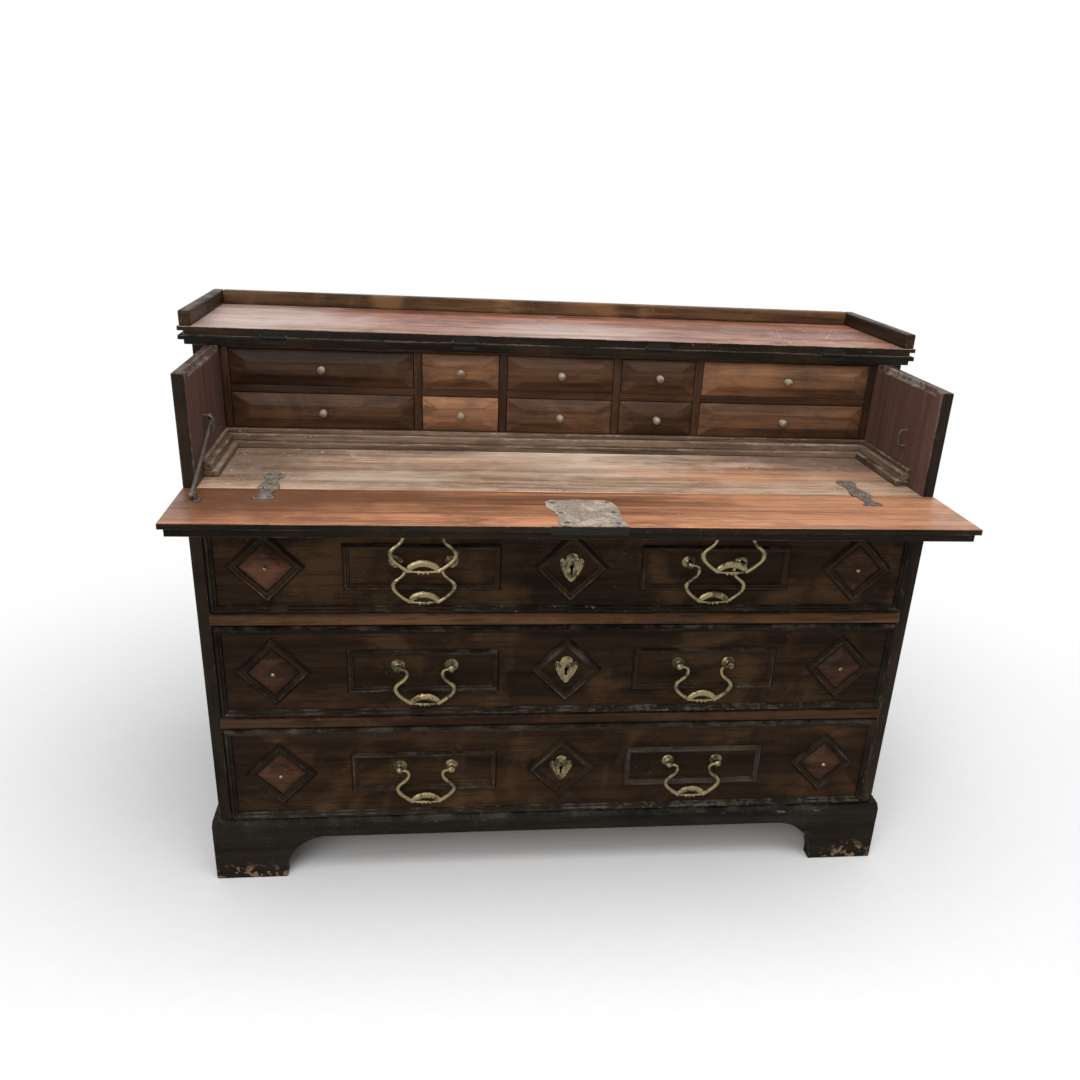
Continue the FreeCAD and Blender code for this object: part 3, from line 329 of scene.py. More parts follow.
def use_group(tree, name, **inputs):
    """Place a shared effect in a material and set its inputs."""
    group = bpy.data.node_groups.get(name) or GROUPS[name]()
    return put_node(tree, "ShaderNodeGroup", {"node_tree": group}, **inputs).outputs


def blank(name):
    """New material: itself, its tree and its shader."""
    material = bpy.data.materials.new(name)
    material.use_nodes = True
    return material, material.node_tree, material.node_tree.nodes["Principled BSDF"]


def bump(tree, shader, height, strength, reach):
    node = put_node(tree, "ShaderNodeBump", None, Height=height, Strength=strength, Distance=reach)
    wire(tree, shader, Normal=node.outputs[0])


# Woods

Wood = namedtuple("Wood", "dark light patch edge patching staining wear dust specks rough shine fine spots",
                  defaults=(1.0, ()))
Spot = namedtuple("Spot", "shade centre span share crumbs", defaults=(0.0,))
PATCHY, FLAKED = 0.54, 0.63
WOODS = {
    "walnut": Wood("walnut_dark", "walnut_light", "walnut_red", "worn",
                   0.60, 0.55, 0.02, 0.10, 0.06, 0.40, 0.03),
    "rail": Wood("walnut_dark", "rail_light", "rail_light", "worn",
                 0.50, 0.40, 0.14, 0.12, 0.10, 0.36, 0.05),
    "ebonised": Wood("ebony_dark", "ebony_light", "walnut_red", "ebony_worn",
                     0.18, 0.30, 0.30, 0.25, 0.10, 0.38, 0.038, spots=(
        Spot("grey_worn", (0.30, -0.21, 0.130), (0.40, 0.05, 0.020), 0.13, PATCHY),
        Spot("grey_worn", (0.25, -0.21, 0.341), (0.35, 0.05, 0.016), 0.15, PATCHY),
        Spot("chips", (-0.05, -0.21, 0.538), (0.30, 0.05, 0.014), 0.16, FLAKED))),
    "moulding": Wood("moulding_dark", "moulding_light", "walnut_red", "ebony_worn",
                     0.20, 0.30, 0.34, 0.20, 0.10, 0.34, 0.042, spots=(
        Spot("grey_worn", (0.25, -0.21, 0.2175), (0.19, 0.05, 0.075), 0.10),
        Spot("grey_worn", (0.0, -0.21, 0.446), (0.045, 0.05, 0.024), 0.22))),
    "core": Wood("walnut_dark", "core_light", "core_light", "worn",
                 0.50, 0.30, 0.08, 0.10, 0.06, 0.32, 0.05),
    "side": Wood("side_dark", "side_light", "side_dark", "grey_worn",
                 0.40, 0.40, 0.26, 0.15, 0.20, 0.40, 0.092),
    "inner": Wood("inner_dark", "inner_light", "inner_dark", "grey_worn",
                  0.40, 0.30, 0.26, 0.15, 0.20, 0.40, 0.092),
    "fascia": Wood("walnut_dark", "fascia_light", "walnut_red", "grey_worn",
                   0.60, 0.30, 0.10, 0.15, 0.20, 0.38, 0.067),
    "lid_edge": Wood("ebony_dark", "ebony_light", "walnut_red", "grey_worn",
                     0.18, 0.30, 0.40, 0.25, 0.25, 0.38, 0.038),
    "red_walnut": Wood("red_dark", "red_light", "red_light", "worn",
                       0.45, 0.45, 0.06, 0.10, 0.08, 0.34, 0.092),
    "slip": Wood("bed_dark", "bed_light", "bed_dark", "dust",
                 0.40, 0.30, 0.20, 0.45, 0.40, 0.50, 0.084, fine=1.6, spots=(
        Spot("chips", (-0.565, 0.03, 0.765), (0.06, 0.10, 0.04), 0.9, FLAKED),)),
    "plinth": Wood("ebony_dark", "ebony_light", "dust", "grey_worn",
                   0.03, 0.30, 0.16, 0.20, 0.08, 0.52, 0.05, spots=(
        Spot("bare_light", (-0.56, -0.2, 0.004), (0.11, 0.2, 0.030), 0.80, PATCHY),
        Spot("bare_light", (0.59, -0.2, 0.006), (0.07, 0.2, 0.034), 0.90, PATCHY))),
    "fall": Wood("fall_dark", "fall_light", "fall_dark", "fall_pale",
                 0.40, 0.65, 0.28, 0.05, 0.45, 0.32, 0.18, fine=1.5, spots=(
        Spot("fall_pale", (0.46, -0.30, 0.746), (0.40, 0.18, 0.02), 0.55),
        Spot("fall_dark", (-0.56, -0.24, 0.746), (0.38, 0.13, 0.02), 1.0),
        Spot("fall_dark", (-0.12, -0.18, 0.746), (0.40, 0.05, 0.02), 0.50))),
    "bed": Wood("bed_dark", "bed_light", "fall_dark", "dust",
                0.30, 0.50, 0.12, 0.35, 0.90, 0.42, 0.15, fine=1.3, spots=(
        Spot("bed_pale", (0.03, 0.055, 0.746), (0.30, 0.07, 0.05), 1.0),
        Spot("chips", (-0.46, 0.02, 0.746), (0.16, 0.06, 0.05), 0.9, FLAKED),
        Spot("bed_pale", (-0.33, -0.13, 0.746), (0.18, 0.05, 0.05), 0.4),
        Spot("bed_dark", (-0.55, -0.04, 0.746), (0.18, 0.16, 0.05), 0.8),
        # Painted shade: the bed darkens towards its right rear corner, where the right side and the nest
        # shade it
        Spot("bed_dark", (0.54, 0.03, 0.746), (0.25, 0.14, 0.05), 0.9),
        Spot("bed_pale", (0.06, -0.07, 0.746), (0.26, 0.06, 0.05), 0.45),
        Spot("fall_dark", (-0.12, -0.06, 0.746), (0.16, 0.06, 0.05), 0.30),
        Spot("fall_light", (0.30, -0.09, 0.746), (0.30, 0.06, 0.05), 0.55))),
    "lid": Wood("lid_dark", "lid_light", "lid_dark", "grey_worn",
                0.50, 0.60, 0.30, 0.20, 0.60, 0.30, 0.10, fine=1.5, spots=(
        # Painted sheen: pale glossy patch on the left end of the lid
        Spot("lid_pale_and_sheen", (-0.54, 0.20, 0.952), (0.22, 0.22, 0.05), 0.70),
        Spot("lid_pale_and_sheen", (0.02, 0.15, 0.952), (0.20, 0.14, 0.05), 0.55),
        Spot("lid_dark", (0.45, 0.22, 0.952), (0.26, 0.14, 0.05), 0.40),
        Spot("chips", (0.50, 0.16, 0.952), (0.20, 0.20, 0.05), 0.85, FLAKED))),
    "bare": Wood("bare_dark", "bare_light", "bare_dark", "bare_light",
                 0.40, 0.40, 0.10, 0.20, 0.20, 0.68, 0.05),
}
STRETCH = 0.055
BOARD_SHIFT = (3.7, 5.1, 2.3)
PORE_SHARE = 0.55
CRUMB_SCALE, CRUMB_EDGE = 85.0, 0.04
SPECK_SCALE, SPECK_LIMIT = 210.0, 0.66
STAIN_ROUGH, DUST_ROUGH, WEAR_ROUGH = 0.16, 0.35, 0.12
PORE_RISE, WEAR_RISE, PATCH_RISE = -0.35, -0.9, 0.8


def wood(name, axis):
    """Wood finish by name with its grain along one axis, made at its first use."""
    title = f"{name}_grain_{'xyz'[axis]}"
    return bpy.data.materials.get(title) or new_wood(title, WOODS[name], axis)


def new_wood(title, look, axis):
    """Old polished wood with spots, worn edges, dust and specks."""
    material, tree, shader = blank(title)
    spot_place = object_place(tree)
    place = vectors(tree, "MULTIPLY_ADD", mark(tree, "board"), BOARD_SHIFT, spot_place)
    along = [look.fine * (STRETCH if index == axis else 1.0) for index in range(3)]
    drawn = put_node(tree, "ShaderNodeMapping", None, Vector=place, Scale=along).outputs[0]
    grain = use_group(tree, "Wood grain", Grain=drawn, Place=place)
    shade = blend(tree, grain["Figure"], look.dark, look.light)
    shade = tint(tree, shade, look.patch, grain["Patch"], look.patching)
    shade = tint(tree, shade, look.dark, grain["Stain"], look.staining)
    # Spots of wear, stains and chips, and on the bed and lid also painted shade and a painted sheen
    for spot in look.spots:
        soft = use_group(tree, "Worn spot", Place=spot_place, Centre=spot.centre, Span=spot.span)["Spot"]
        if spot.crumbs:
            flakes = cloud(tree, place, CRUMB_SCALE, detail=3.0)
            broken = ramp(tree, flakes, spot.crumbs, spot.crumbs + CRUMB_EDGE)
        else:
            broken = ramp(tree, grain["Figure"], -0.8, 0.7)
        shade = tint(tree, shade, spot.shade, times(tree, soft, broken), spot.share)
    shade = tint(tree, shade, look.dark, grain["Pores"], PORE_SHARE)
    tone = sums(tree, "ADD", mark(tree, "tone"), 1.0)
    shade = put_node(tree, "ShaderNodeHueSaturation", None, Color=shade, Value=tone).outputs[0]
    wear = use_group(tree, "Edge wear", Place=place, Amount=look.wear)["Wear"]
    dust = use_group(tree, "Dust", Place=place, Amount=look.dust)["Dust"]
    specks = use_group(tree, "Specks", Place=place, Scale=SPECK_SCALE, Limit=SPECK_LIMIT)["Specks"]
    shade = blend(tree, wear, shade, look.edge)
    shade = blend(tree, dust, shade, "dust")
    shade = tint(tree, shade, "chips", specks, look.specks)
    rough = look.rough
    for mask, share in ((grain["Stain"], STAIN_ROUGH), (dust, DUST_ROUGH), (wear, WEAR_ROUGH)):
        rough = add_share(tree, mask, share, rough)
    height = grain["Figure"]
    for mask, share in ((grain["Pores"], PORE_RISE), (wear, WEAR_RISE), (grain["Patch"], PATCH_RISE)):
        height = add_share(tree, mask, share, height)
    wire(tree, shader, Base_Color=shade, Roughness=rough, Specular_IOR_Level=look.shine)
    bump(tree, shader, height, strength=0.35, reach=0.0007)
    return material


# Metals and knobs

IRON_BLOOM = {"dark_iron": 0.15, "strap_iron": 0.45, "lock_plate_iron": 0.95}
IRON_PITS = 330.0


def finish(name):
    """Metal or knob finish by name, made at its first use."""
    return bpy.data.materials.get(name) or FINISHES[name](name)


def old_brass(name):
    """Cast brass: rubbed bright on the high places, dull in the hollows."""
    material, tree, shader = blank(name)
    pits = use_group(tree, "Metal pits", Place=object_place(tree), Scale=420.0)
    worn = add_share(tree, mark(tree, "edge"), 0.5, 0.35)
    dull = sums(tree, "SUBTRACT", times(tree, pits["Dull"], 0.9), worn)
    shade = blend(tree, ramp(tree, dull, -0.45, 0.30), "brass", "brass_dark")
    shade = tint(tree, shade, "brass_dark", pits["Pits"], 0.35)
    rough = add_share(tree, pits["Dull"], 0.28, 0.24)
    wire(tree, shader, Base_Color=shade, Roughness=rough, Metallic=1.0)
    bump(tree, shader, pits["Pits"], strength=0.30, reach=0.0004)
    return material


def forged_iron(name):
    """Forged iron, pitted and partly bloomed."""
    material, tree, shader = blank(name)
    place = object_place(tree)
    pits = use_group(tree, "Metal pits", Place=place, Scale=IRON_PITS)
    bloom = use_group(tree, "Wood grain", Grain=place, Place=place)
    pale = times(tree, ramp(tree, bloom["Stain"], -0.9, 0.6), IRON_BLOOM[name])
    blots = ramp(tree, cloud(tree, place, scale=130.0, roughness=0.65), 0.46, 0.66)
    shade = blend(tree, pale, "iron", "iron_pale")
    shade = tint(tree, shade, "iron", pits["Pits"], 0.60)
    shade = tint(tree, shade, "iron", blots, 0.45)
    shade = tint(tree, shade, "walnut_red", pits["Dull"], 0.18)
    rough = add_share(tree, pits["Dull"], 0.25, 0.45)
    wire(tree, shader, Base_Color=shade, Roughness=rough, Metallic=add_share(tree, pale, -0.85, 0.85))
    hollows = sums(tree, "ADD", pits["Pits"], blots)
    bump(tree, shader, sums(tree, "SUBTRACT", pits["Dull"], hollows), strength=0.6, reach=0.0012)
    return material


def black_iron(name):
    """Iron blackened by age, with little gleam."""
    material, tree, shader = blank(name)
    pits = use_group(tree, "Metal pits", Place=object_place(tree), Scale=IRON_PITS)
    shade = tint(tree, "black_iron", "ebony_light", pits["Pits"], 0.6)
    rough = add_share(tree, pits["Dull"], 0.25, 0.45)
    wire(tree, shader, Base_Color=shade, Roughness=rough, Specular_IOR_Level=0.1)
    bump(tree, shader, pits["Pits"], strength=0.4, reach=0.0005)
    return material


def pale_knob(name):
    """Pale turned knobs, dirty in the neck."""
    material, tree, shader = blank(name)
    pits = use_group(tree, "Metal pits", Place=object_place(tree), Scale=500.0)
    dirt = sums(tree, "SUBTRACT", sums(tree, "ADD", pits["Dull"], 0.55), mark(tree, "edge"))
    shade = blend(tree, ramp(tree, dirt, 0.2, 1.2), "knob", "walnut_red")
    wire(tree, shader, Base_Color=shade, Roughness=add_share(tree, pits["Dull"], 0.25, 0.28))
    bump(tree, shader, pits["Pits"], strength=0.15, reach=0.0003)
    return material


FINISHES = {"old_brass": old_brass, "black_iron": black_iron, "pale_knob": pale_knob,
            **dict.fromkeys(IRON_BLOOM, forged_iron)}


# Bench work

UPRIGHT = (0.0, 0.0, 0.0)
FACING = (math.pi / 2, 0.0, 0.0)
HANGING = (math.pi, 0.0, 0.0)
ON_POINT = (0.0, math.pi / 4, 0.0)
RIGHTWARD = (0.0, math.pi / 2, 0.0)
LEFTWARD = (0.0, -math.pi / 2, 0.0)
NEAR = 0.0001
MERGE = 0.00001
FLAT_ANGLE = math.radians(1.0)
SMOOTH_ANGLE = math.radians(32.0)
SHARP, LOW_HIP = 30.0, 12.0
GOLDEN, TONE_SPREAD = 0.6180339, 0.3
NARROW, BROAD, NARROW_BAND = 0.9, 3.0, 0.25
EASE_LIMIT, BAND_LIMIT = 0.3, 0.35
PLATE_THICK = 0.002


def mm(value):
    """Millimetres as metres."""
    return value / 1000.0


def close():
    """Leave edit mode."""
    bpy.ops.object.mode_set(mode="OBJECT")


def lay_down():
    """Leave nothing open or selected."""
    if bpy.context.mode != "OBJECT":
        close()
    bpy.ops.object.select_all(action="DESELECT")


def take(piece):
    """Make one piece the only selected and active one."""
    lay_down()
    piece.select_set(True)
    bpy.context.view_layer.objects.active = piece
    return piece


def open_up(piece, kind="FACE", action="SELECT"):
    """Open a piece in edit mode with all or nothing of it selected."""
    take(piece)
    bpy.ops.object.mode_set(mode="EDIT")
    bpy.ops.mesh.select_mode(type=kind)
    bpy.ops.mesh.select_all(action=action)


def pick(piece, faces=None, edges=None):
    """Open a piece in edit mode with the faces or edges selected that pass a test."""
    open_up(piece, "FACE" if faces else "EDGE", "DESELECT")
    close()
    mesh = piece.data
    if faces:
        for face in mesh.polygons:
            face.select = faces(face)
    else:
        for edge in mesh.edges:
            edge.select = edges([mesh.vertices[index].co for index in edge.vertices])
    bpy.ops.object.mode_set(mode="EDIT")


def turn_outward():
    """Turn all faces outward and leave edit mode."""
    bpy.ops.mesh.select_all(action="SELECT")
    bpy.ops.mesh.normals_make_consistent(inside=False)
    close()


def bring(name, data):
    """New object in the scene."""
    piece = bpy.data.objects.new(name, data)
    bpy.context.scene.collection.objects.link(piece)
    return piece


def named(name):
    """The piece that was just made, under its name."""
    piece = bpy.context.object
    piece.name = name
    return piece


def discard(*pieces):
    for piece in pieces:
        bpy.data.objects.remove(piece)


def settle(piece):
    """Put an object's place, turn and scale into its mesh."""
    take(piece)
    bpy.ops.object.transform_apply(location=True, rotation=True, scale=True)
    return piece


def set_down(piece, place, turn=UPRIGHT):
    """Turn a piece about the origin, move it to its place and settle it there."""
    piece.rotation_euler = turn
    piece.location = place
    return settle(piece)


def copy_to(piece, name, place, turn=UPRIGHT):
    """Copy with its own mesh, set down at its place."""
    take(piece)
    bpy.ops.object.duplicate(linked=False)
    return set_down(named(name), place, turn)


def join(name, pieces):
    """Join pieces into one."""
    lay_down()
    for piece in pieces:
        piece.select_set(True)
    bpy.context.view_layer.objects.active = pieces[0]
    bpy.ops.object.join()
    return named(name)


def block(name, low, high):
    """Block between two corners."""
    lay_down()
    low, high = Vector(low), Vector(high)
    bpy.ops.mesh.primitive_cube_add(size=1.0, location=(low + high) / 2)
    piece = named(name)
    piece.scale = high - low
    return settle(piece)


def finish_modifier(piece, modifier):
    take(piece)
    bpy.ops.object.modifier_apply(modifier=modifier.name)


def ease_edges(piece, width, limit=SHARP):
    """Round every edge sharper than a limit a little."""
    modifier = piece.modifiers.new("ease", "BEVEL")
    modifier.width = width
    modifier.segments = 2
    modifier.limit_method = "ANGLE"
    modifier.angle_limit = math.radians(limit)
    finish_modifier(piece, modifier)


def cut_away(piece, cutter):
    """Cut one shape out of another."""
    modifier = piece.modifiers.new("cut", "BOOLEAN")
    modifier.object = cutter
    modifier.operation = "DIFFERENCE"
    finish_modifier(piece, modifier)
    discard(cutter)


def round_edges(piece, width, segments, edges):
    """Round the edges that pass a test."""
    pick(piece, edges=edges)
    bpy.ops.mesh.bevel(offset=width, segments=segments, affect="EDGES")
    close()


def set_mark(piece, name, values):
    """Store a value on each point of a piece."""
    data = piece.data.attributes.get(name) or piece.data.attributes.new(name, "FLOAT", "POINT")
    data.data.foreach_set("value", values)


def mark_edges(piece, rule):
    """Store on each point how worn it is, by a rule of its place."""
    set_mark(piece, "edge", [rule(point.co) for point in piece.data.vertices])


def number(piece, tone=None):
    """Give a board its own place in the grain, and its own tone."""
    letters = sum(ord(sign) * (place + 3) for place, sign in enumerate(piece.name))
    chance = math.fmod(letters * GOLDEN, 1.0)
    count = len(piece.data.vertices)
    set_mark(piece, "board", [chance] * count)
    set_mark(piece, "tone", [(chance - 0.5) * TONE_SPREAD if tone is None else tone] * count)


def dress(piece, *materials):
    piece.data.materials.clear()
    for material in materials:
        piece.data.materials.append(material)
    return piece


def face_width(mesh, face):
    """Rough width of a face: its area over its longest edge."""
    corners = [mesh.vertices[index].co for index in face.vertices]
    sides = zip(corners, corners[1:] + corners[:1])
    return face.area / max((first - second).length for first, second in sides)


def ring_faces(piece, band):
    """Ring each broad face with a worn band and mark how near each point is to an edge."""
    widths = [face_width(piece.data, face) for face in piece.data.polygons]
    narrow = {place for place, width in enumerate(widths) if NARROW * band < width <= BROAD * band}
    broad = {place for place, width in enumerate(widths) if width > BROAD * band}
    for chosen, thickness in ((narrow, NARROW_BAND * band), (broad, band)):
        pick(piece, faces=lambda face: face.index in chosen)
        bpy.ops.mesh.inset(thickness=thickness, use_individual=True)
        close()
    values = [1.0] * len(piece.data.vertices)
    for face in piece.data.polygons:
        if face.index in narrow or face.index in broad:
            for index in face.vertices:
                values[index] = 0.0
    set_mark(piece, "edge", values)


def eased_block(name, low, high, ease=None, band=None):
    """Block with rounded edges and worn bands."""
    piece = block(name, low, high)
    thin = min(Vector(high) - Vector(low))
    ease_edges(piece, min(ease or sizes().edge_ease, thin * EASE_LIMIT))
    ring_faces(piece, min(band or sizes().wear_band, thin * BAND_LIMIT))
    return piece


def board(name, low, high, look, ease=None, band=None, axis=None, tone=None):
    """Eased board with its grain along its length, or along an axis."""
    piece = eased_block(name, low, high, ease, band)
    number(piece, tone)
    spans = list(Vector(high) - Vector(low))
    return dress(piece, wood(look, spans.index(max(spans)) if axis is None else axis))


def cad_copy(node, name, look, axis, ease=None, ring=True):
    """Eased copy of a board that has housings or keyholes cut in it."""
    piece = bring(name, frame["nodes"][node].data.copy())
    open_up(piece)
    bpy.ops.mesh.remove_doubles(threshold=MERGE)
    bpy.ops.mesh.dissolve_limited(angle_limit=FLAT_ANGLE)
    close()
    ease_edges(piece, ease or sizes().edge_ease)
    if ring:
        ring_faces(piece, sizes().wear_band)
    number(piece)
    return dress(piece, wood(look, axis))


def dark_edges(piece, look, edge="ebonised"):
    """Blacken a board all round, between its polished upper face and its plain lower one."""
    level, skin = 0.6, 0.003
    top = max(point.co.z for point in piece.data.vertices)
    dress(piece, wood(look, X), wood(edge, X), wood("walnut", X))
    for face in piece.data.polygons:
        face.material_index = 1
        if face.normal.z > level and face.center.z > top - skin:
            face.material_index = 0
        if face.normal.z < -level:
            face.material_index = 2


def hand_over(piece, body, slot, *nodes):
    """Shade a finished piece, tie it to its body and hide the nodes it stands in for."""
    take(piece)
    bpy.ops.object.shade_smooth_by_angle(angle=SMOOTH_ANGLE)
    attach(piece, body)
    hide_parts(*nodes)


def turned(name, shape, sides=24):
    """Turned shape along Z from its first radius, through steps of height and radius."""
    lay_down()
    (height, radius), *steps = shape
    bpy.ops.mesh.primitive_circle_add(vertices=sides, radius=radius, fill_type="NGON",
                                      location=(0.0, 0.0, height))
    piece = settle(named(name))
    open_up(piece)
    for next_height, next_radius in steps:
        rise = (0.0, 0.0, next_height - height)
        bpy.ops.mesh.extrude_region_move(TRANSFORM_OT_translate={"value": rise})
        scale = next_radius / radius
        bpy.ops.transform.resize(value=(scale, scale, 1.0), center_override=(0.0, 0.0, next_height))
        height, radius = next_height, next_radius
    turn_outward()
    widest = max(spoke for _, spoke in shape)
    mark_edges(piece, lambda co: min(1.0, math.hypot(co.x, co.y) / widest + 0.1))
    return piece


def moulded_frame(name, width, height, steps):
    """Closed moulded frame in the XZ plane, facing -Y, from inset steps of width and rise."""
    lay_down()
    bpy.ops.mesh.primitive_plane_add(size=1.0, rotation=FACING)
    piece = named(name)
    piece.scale = (width, height, 1.0)
    open_up(settle(piece))
    for inset, rise in steps:
        bpy.ops.mesh.inset(thickness=inset, depth=rise)
    bpy.ops.mesh.delete(type="FACE")
    bpy.ops.mesh.select_mode(type="EDGE")
    bpy.ops.mesh.select_all(action="DESELECT")
    bpy.ops.mesh.select_non_manifold()
    bpy.ops.mesh.bridge_edge_loops()
    turn_outward()
    proud = min(point.co.y for point in piece.data.vertices)
    mark_edges(piece, lambda co: 0.9 * (co.y / proud) ** 2)
    number(piece)
    return piece


def hipped(name, low, high, rise, side, top, ease, band):
    """Board whose front rises in four slopes to a smaller field."""
    piece = block(name, low, high)
    pick(piece, faces=lambda face: face.normal.y < -0.9)
    bpy.ops.mesh.extrude_region_move(TRANSFORM_OT_translate={"value": (0.0, -rise, 0.0)})
    low, high = Vector(low), Vector(high)
    span = high - low
    middle = (low + high) / 2
    share = ((span.x - 2 * side) / span.x, 1.0, (span.z - 2 * top) / span.z)
    bpy.ops.transform.resize(value=share, center_override=(middle.x, low.y - rise, middle.z))
    close()
    ease_edges(piece, ease, LOW_HIP)
    ring_faces(piece, band)
    return piece


def as_mesh(curve):
    """Mesh of a finished curve."""
    take(bring(curve.name, curve))
    bpy.ops.object.convert(target="MESH")
    return bpy.context.object


def add_spline(curve, kind, order, points):
    """Line through points in millimetres."""
    spline = curve.splines.new(kind)
    spline.points.add(len(points) - 1)
    for knot, point in zip(spline.points, points):
        knot.co = (*map(mm, point), 1.0)
    spline.order_u = order
    return spline


def rod(name, points):
    """Round bar through points of x, z and radius in millimetres, in the XZ plane."""
    curve = bpy.data.curves.new(name, "CURVE")
    curve.dimensions = "3D"
    curve.bevel_depth = mm(1.0)
    curve.bevel_resolution = 3
    curve.resolution_u = 5
    curve.use_fill_caps = True
    spline = add_spline(curve, "NURBS", 4, [(x, 0.0, z) for x, z, _ in points])
    spline.use_endpoint_u = True
    for knot, (_, _, radius) in zip(spline.points, points):
        knot.radius = radius
    return as_mesh(curve)


def cut_plate(name, softness, *outlines):
    """Flat plate in the XY plane from an outline and its holes, in millimetres."""
    curve = bpy.data.curves.new(name, "CURVE")
    curve.dimensions = "2D"
    curve.fill_mode = "BOTH"
    curve.extrude = PLATE_THICK / 2 - softness
    curve.bevel_depth = softness
    curve.bevel_resolution = 2
    curve.resolution_u = 6
    for kind, points in outlines:
        add_spline(curve, kind, 3, [(x, y, 0.0) for x, y in points]).use_cyclic_u = True
    piece = as_mesh(curve)
    open_up(piece)
    bpy.ops.mesh.remove_doubles(threshold=MERGE)
    turn_outward()
    mark_edges(piece, lambda co: 0.6)
    return piece


def joint_place(name):
    """Place of a joint in the frame."""
    return Vector(next(joint["pos_m"] for joint in frame["joints"] if joint["name"] == name))


# Case

RAIL_TONES = {"lower": -0.30, "middle": 0.45}
RAIL_GAP, RAIL_SEAT = 0.0015, 0.0003
NOSE_WEAR, NOSE_DEPTH = 0.62, 0.004
LID_ROOM = 0.0002
BOLT_PLAY, BOLT_THROW = Vector((0.002, 0.002, 0.003)), Vector((0.0, 0.0, 0.008))
PLANKS, PLANK_GAP = 3, 0.0006
PLINTH_THICK = 0.028
FOOT_LENGTH, ARCH_HEIGHT, ARCH_ROUND = 0.120, 0.087, 0.076
PAST = 0.01
FASCIA_THICK = 0.020


def tray(name, low, high, wall, bottom):
    """Two sides, a back and a bottom of a drawer."""
    low, high = Vector(low), Vector(high)
    return [
        board(name + "_left", low, (low.x + wall, high.y, high.z), "bare", axis=Y),
        board(name + "_right", (high.x - wall, low.y, low.z), high, "bare", axis=Y),
        board(name + "_back", (low.x + wall, high.y - wall, low.z), (high.x - wall, high.y, high.z), "bare"),
        board(name + "_bottom", (low.x + wall, low.y, low.z), (high.x - wall, high.y - wall, low.z + bottom),
              "bare", axis=X),
    ]


class ESCRITOIRE_OT_case(bpy.types.Operator):
    """Work the sides, rails, writing bed and back of the case"""
    bl_idname = "escritoire.case"
    bl_label = "Case"

    def execute(self, context):
        for hand, inward in zip(HANDS, (1, -1)):
            self.side(hand, inward)
        bed = cad_copy("writing_bed", "bed_worked", "bed", X)
        dark_edges(bed, "bed")
        hand_over(bed, "case", "red_walnut", "writing_bed")
        self.rails()
        self.back()
        dress(frame["nodes"]["carcass_boards"], wood("bare", Y))
        return {"FINISHED"}

    def side(self, hand, inward):
        """Side with a black front edge, its rim lowered by a hair so that the closed lid rests just clear."""
        side = cad_copy(f"side_{hand}", f"case_side_{hand}", "side", Z, ease=0.0016)
        dress(side, wood("side", Z), wood("ebonised", Z), wood("inner", Z))
        for face in side.data.polygons:
            face.material_index = 2 if face.normal.x * inward > 0.5 else int(face.normal.y < -0.5)
        top = max(point.co.z for point in side.data.vertices)
        pick(side, faces=lambda face: face.normal.z > 0.9 and face.center.z > top - NEAR)
        bpy.ops.transform.translate(value=(0.0, 0.0, -LID_ROOM))
        close()
        hand_over(side, "case", "dark_walnut", f"side_{hand}")

    def rails(self):
        """Two nosed rails and the rail under the bed, each with a mortise for the bolt below it."""
        low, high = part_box("drawer_rails")
        rails = []
        for level, above in zip(LEVELS, LEVELS[1:]):
            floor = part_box(f"{level}_drawer_front")[1].z + RAIL_GAP
            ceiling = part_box(f"{above}_drawer_front")[0].z - RAIL_SEAT
            rails.append(self.nosed_rail(level, (low.x, low.y, floor), (high.x, high.y, ceiling)))
        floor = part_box("upper_drawer_front")[1].z + RAIL_GAP
        rails.append(board("bed_rail_worked", (low.x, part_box("side_left")[0].y, floor), high, "walnut"))
        for level, rail in zip(LEVELS, rails):
            bolt_low, bolt_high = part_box(f"{level}_drawer_lock_bolt")
            room = bolt_low - BOLT_PLAY, bolt_high + BOLT_PLAY + BOLT_THROW
            cut_away(rail, block(rail.name + "_mortise", *room))
        hand_over(join("rails_worked", rails), "case", "dark_walnut", "drawer_rails")

    def nosed_rail(self, level, low, high):
        """Rail with a rounded nose."""
        piece = block(f"{level}_rail_worked", low, high)
        round_edges(piece, sizes().rail_round, 6, lambda ends: all(abs(end.y - low[Y]) < NEAR for end in ends)
                    and abs(ends[0].z - ends[1].z) < NEAR)
        mark_edges(piece, lambda co: NOSE_WEAR if co.y < low[Y] + NOSE_DEPTH else 0.0)
        number(piece, RAIL_TONES[level])
        return dress(piece, wood("rail", X))

    def back(self):
        """Rough boards across the back."""
        low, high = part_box("back_boards")
        rise = (high.z - low.z - (PLANKS - 1) * PLANK_GAP) / PLANKS
        boards = []
        for row in range(PLANKS):
            floor = low.z + row * (rise + PLANK_GAP)
            boards.append(board(f"back_plank_{row + 1}", (low.x, low.y, floor),
                                (high.x, high.y, floor + rise), "bare", ease=0.002))
        hand_over(join("back_worked", boards), "case", "plain_wood", "back_boards")


